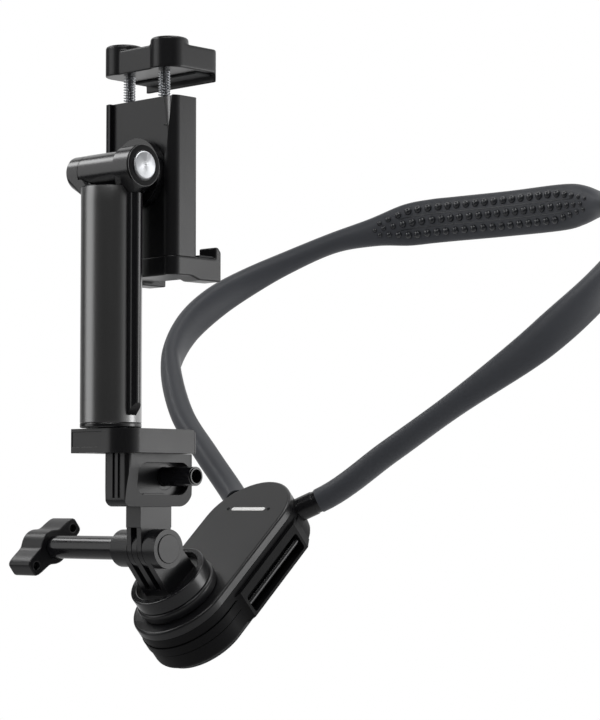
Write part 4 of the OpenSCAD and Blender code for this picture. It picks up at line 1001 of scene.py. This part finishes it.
# The lamps: way from the aim, distance in metres, width and height in metres, and power in watts
LAMPS = (
    ("panel_left", (-0.66, -0.75, 0.08), 1.2, (0.8, 1.4), 3.4),
    ("strip_top_left", (-0.68, -0.36, 0.64), 1.15, (0.9, 0.22), 3.0),
    ("panel_high", (-0.56, 0.46, 0.70), 1.2, (0.9, 0.7), 1.1),
    ("strip_low_left", (-0.60, -0.67, -0.44), 1.1, (0.8, 0.1), 1.0),
    ("strip_front_high", (0.30, -0.62, 0.72), 1.2, (0.9, 0.12), 2.0),
    ("window_right", (0.69, 0.72, 0.02), 1.2, (0.46, 0.42), 1.9),
    ("overhead", (0.25, 0.1, 0.96), 1.3, (0.6, 0.6), 5.0),
    ("fill_front", (0.62, -0.50, 0.85), 1.5, (0.5, 0.5), 1.2),
)
# Where the lamps aim, in millimetres from the fork's pivot, and the floor's half width and its depth below
# the holder in metres
AIM = (0, 0, 90)
FLOOR_HALF, FLOOR_DROP = 6.0, 0.12
# The camera: its place in metres, its turn and pitch in degrees, its lens and sensor width in millimetres
CAMERA_PLACE = (0.7339, -0.9140, -0.1433)
CAMERA_TURN, CAMERA_PITCH = 133.706, 3.455
LENS, SENSOR = 119.08, 36


def placed_facing(name, data, place, way):
    """An object at a place that looks along a way, as lamps and cameras do."""
    ob = bpy.data.objects.new(name, data)
    bpy.context.scene.collection.objects.link(ob)
    ob.location = place
    ob.rotation_mode = "QUATERNION"
    ob.rotation_quaternion = way.to_track_quat("-Z", "Y")
    return ob


def area_light(name, place, aim, size, power):
    data = bpy.data.lights.new(name, "AREA")
    data.shape, data.size, data.size_y = "RECTANGLE", size[0], size[1]
    data.energy = power
    return placed_facing(name, data, place, aim - place)


class HOLDER_OT_stage(bpy.types.Operator):
    """Sets up the floor, the studio light and the camera"""
    bl_idname = "holder.stage"
    bl_label = "Stage"

    def execute(self, context):
        scene = context.scene
        scene.view_settings.view_transform = "Standard"
        bm = bmesh.new()
        bmesh.ops.create_grid(bm, x_segments=8, y_segments=8, size=FLOOR_HALF)
        floor = object_from(bm, "floor")
        floor.data.transform(Matrix.Translation((0, 0, cad_box[0].z - FLOOR_DROP)))
        floor.data.materials.append(floor_finish(tuple(scene.holder_colours.floor)))
        scene.world = studio_world()

        target = spot(*AIM)
        for name, way, far, size, power in LAMPS:
            area_light(name, target + Vector(way).normalized() * far, target, size, power)

        camera = bpy.data.cameras.new("camera")
        camera.lens, camera.sensor_width = LENS, SENSOR
        camera.clip_start = 0.01
        turn, pitch = math.radians(CAMERA_TURN), math.radians(CAMERA_PITCH)
        way = Vector((math.cos(turn) * math.cos(pitch), math.sin(turn) * math.cos(pitch), math.sin(pitch)))
        scene.camera = placed_facing("camera", camera, CAMERA_PLACE, way)
        return {"FINISHED"}


class HOLDER_PT_panel(bpy.types.Panel):
    """Lists the holder's pieces, sizes and colours"""
    bl_idname = "HOLDER_PT_panel"
    bl_label = "Phone holder"
    bl_space_type = "VIEW_3D"
    bl_region_type = "UI"
    bl_category = "Phone holder"

    def draw(self, context):
        for step in STEPS:
            self.layout.operator(step.bl_idname)
        for group in (context.scene.holder_sizes, context.scene.holder_colours):
            for name in group.bl_rna.properties.keys():
                if name not in ("rna_type", "name"):
                    self.layout.prop(group, name)


STEPS = (HOLDER_OT_stage, HOLDER_OT_neck_loop, HOLDER_OT_chest_base, HOLDER_OT_turret, HOLDER_OT_thumb_screw,
         HOLDER_OT_arm_block, HOLDER_OT_column, HOLDER_OT_tilt_head, HOLDER_OT_clamp, HOLDER_OT_jaw)
CLASSES = (HolderColours, HolderSizes, *STEPS, HOLDER_PT_panel)


def register():
    for kind in CLASSES:
        bpy.utils.register_class(kind)
    bpy.types.Scene.holder_colours = PointerProperty(type=HolderColours)
    bpy.types.Scene.holder_sizes = PointerProperty(type=HolderSizes)


def unregister():
    del bpy.types.Scene.holder_sizes
    del bpy.types.Scene.holder_colours
    for kind in reversed(CLASSES):
        bpy.utils.unregister_class(kind)


def main():
    register()
    for step in STEPS:
        group, name = step.bl_idname.split(".")
        getattr(getattr(bpy.ops, group), name)()


if __name__ == "__main__":
    main()
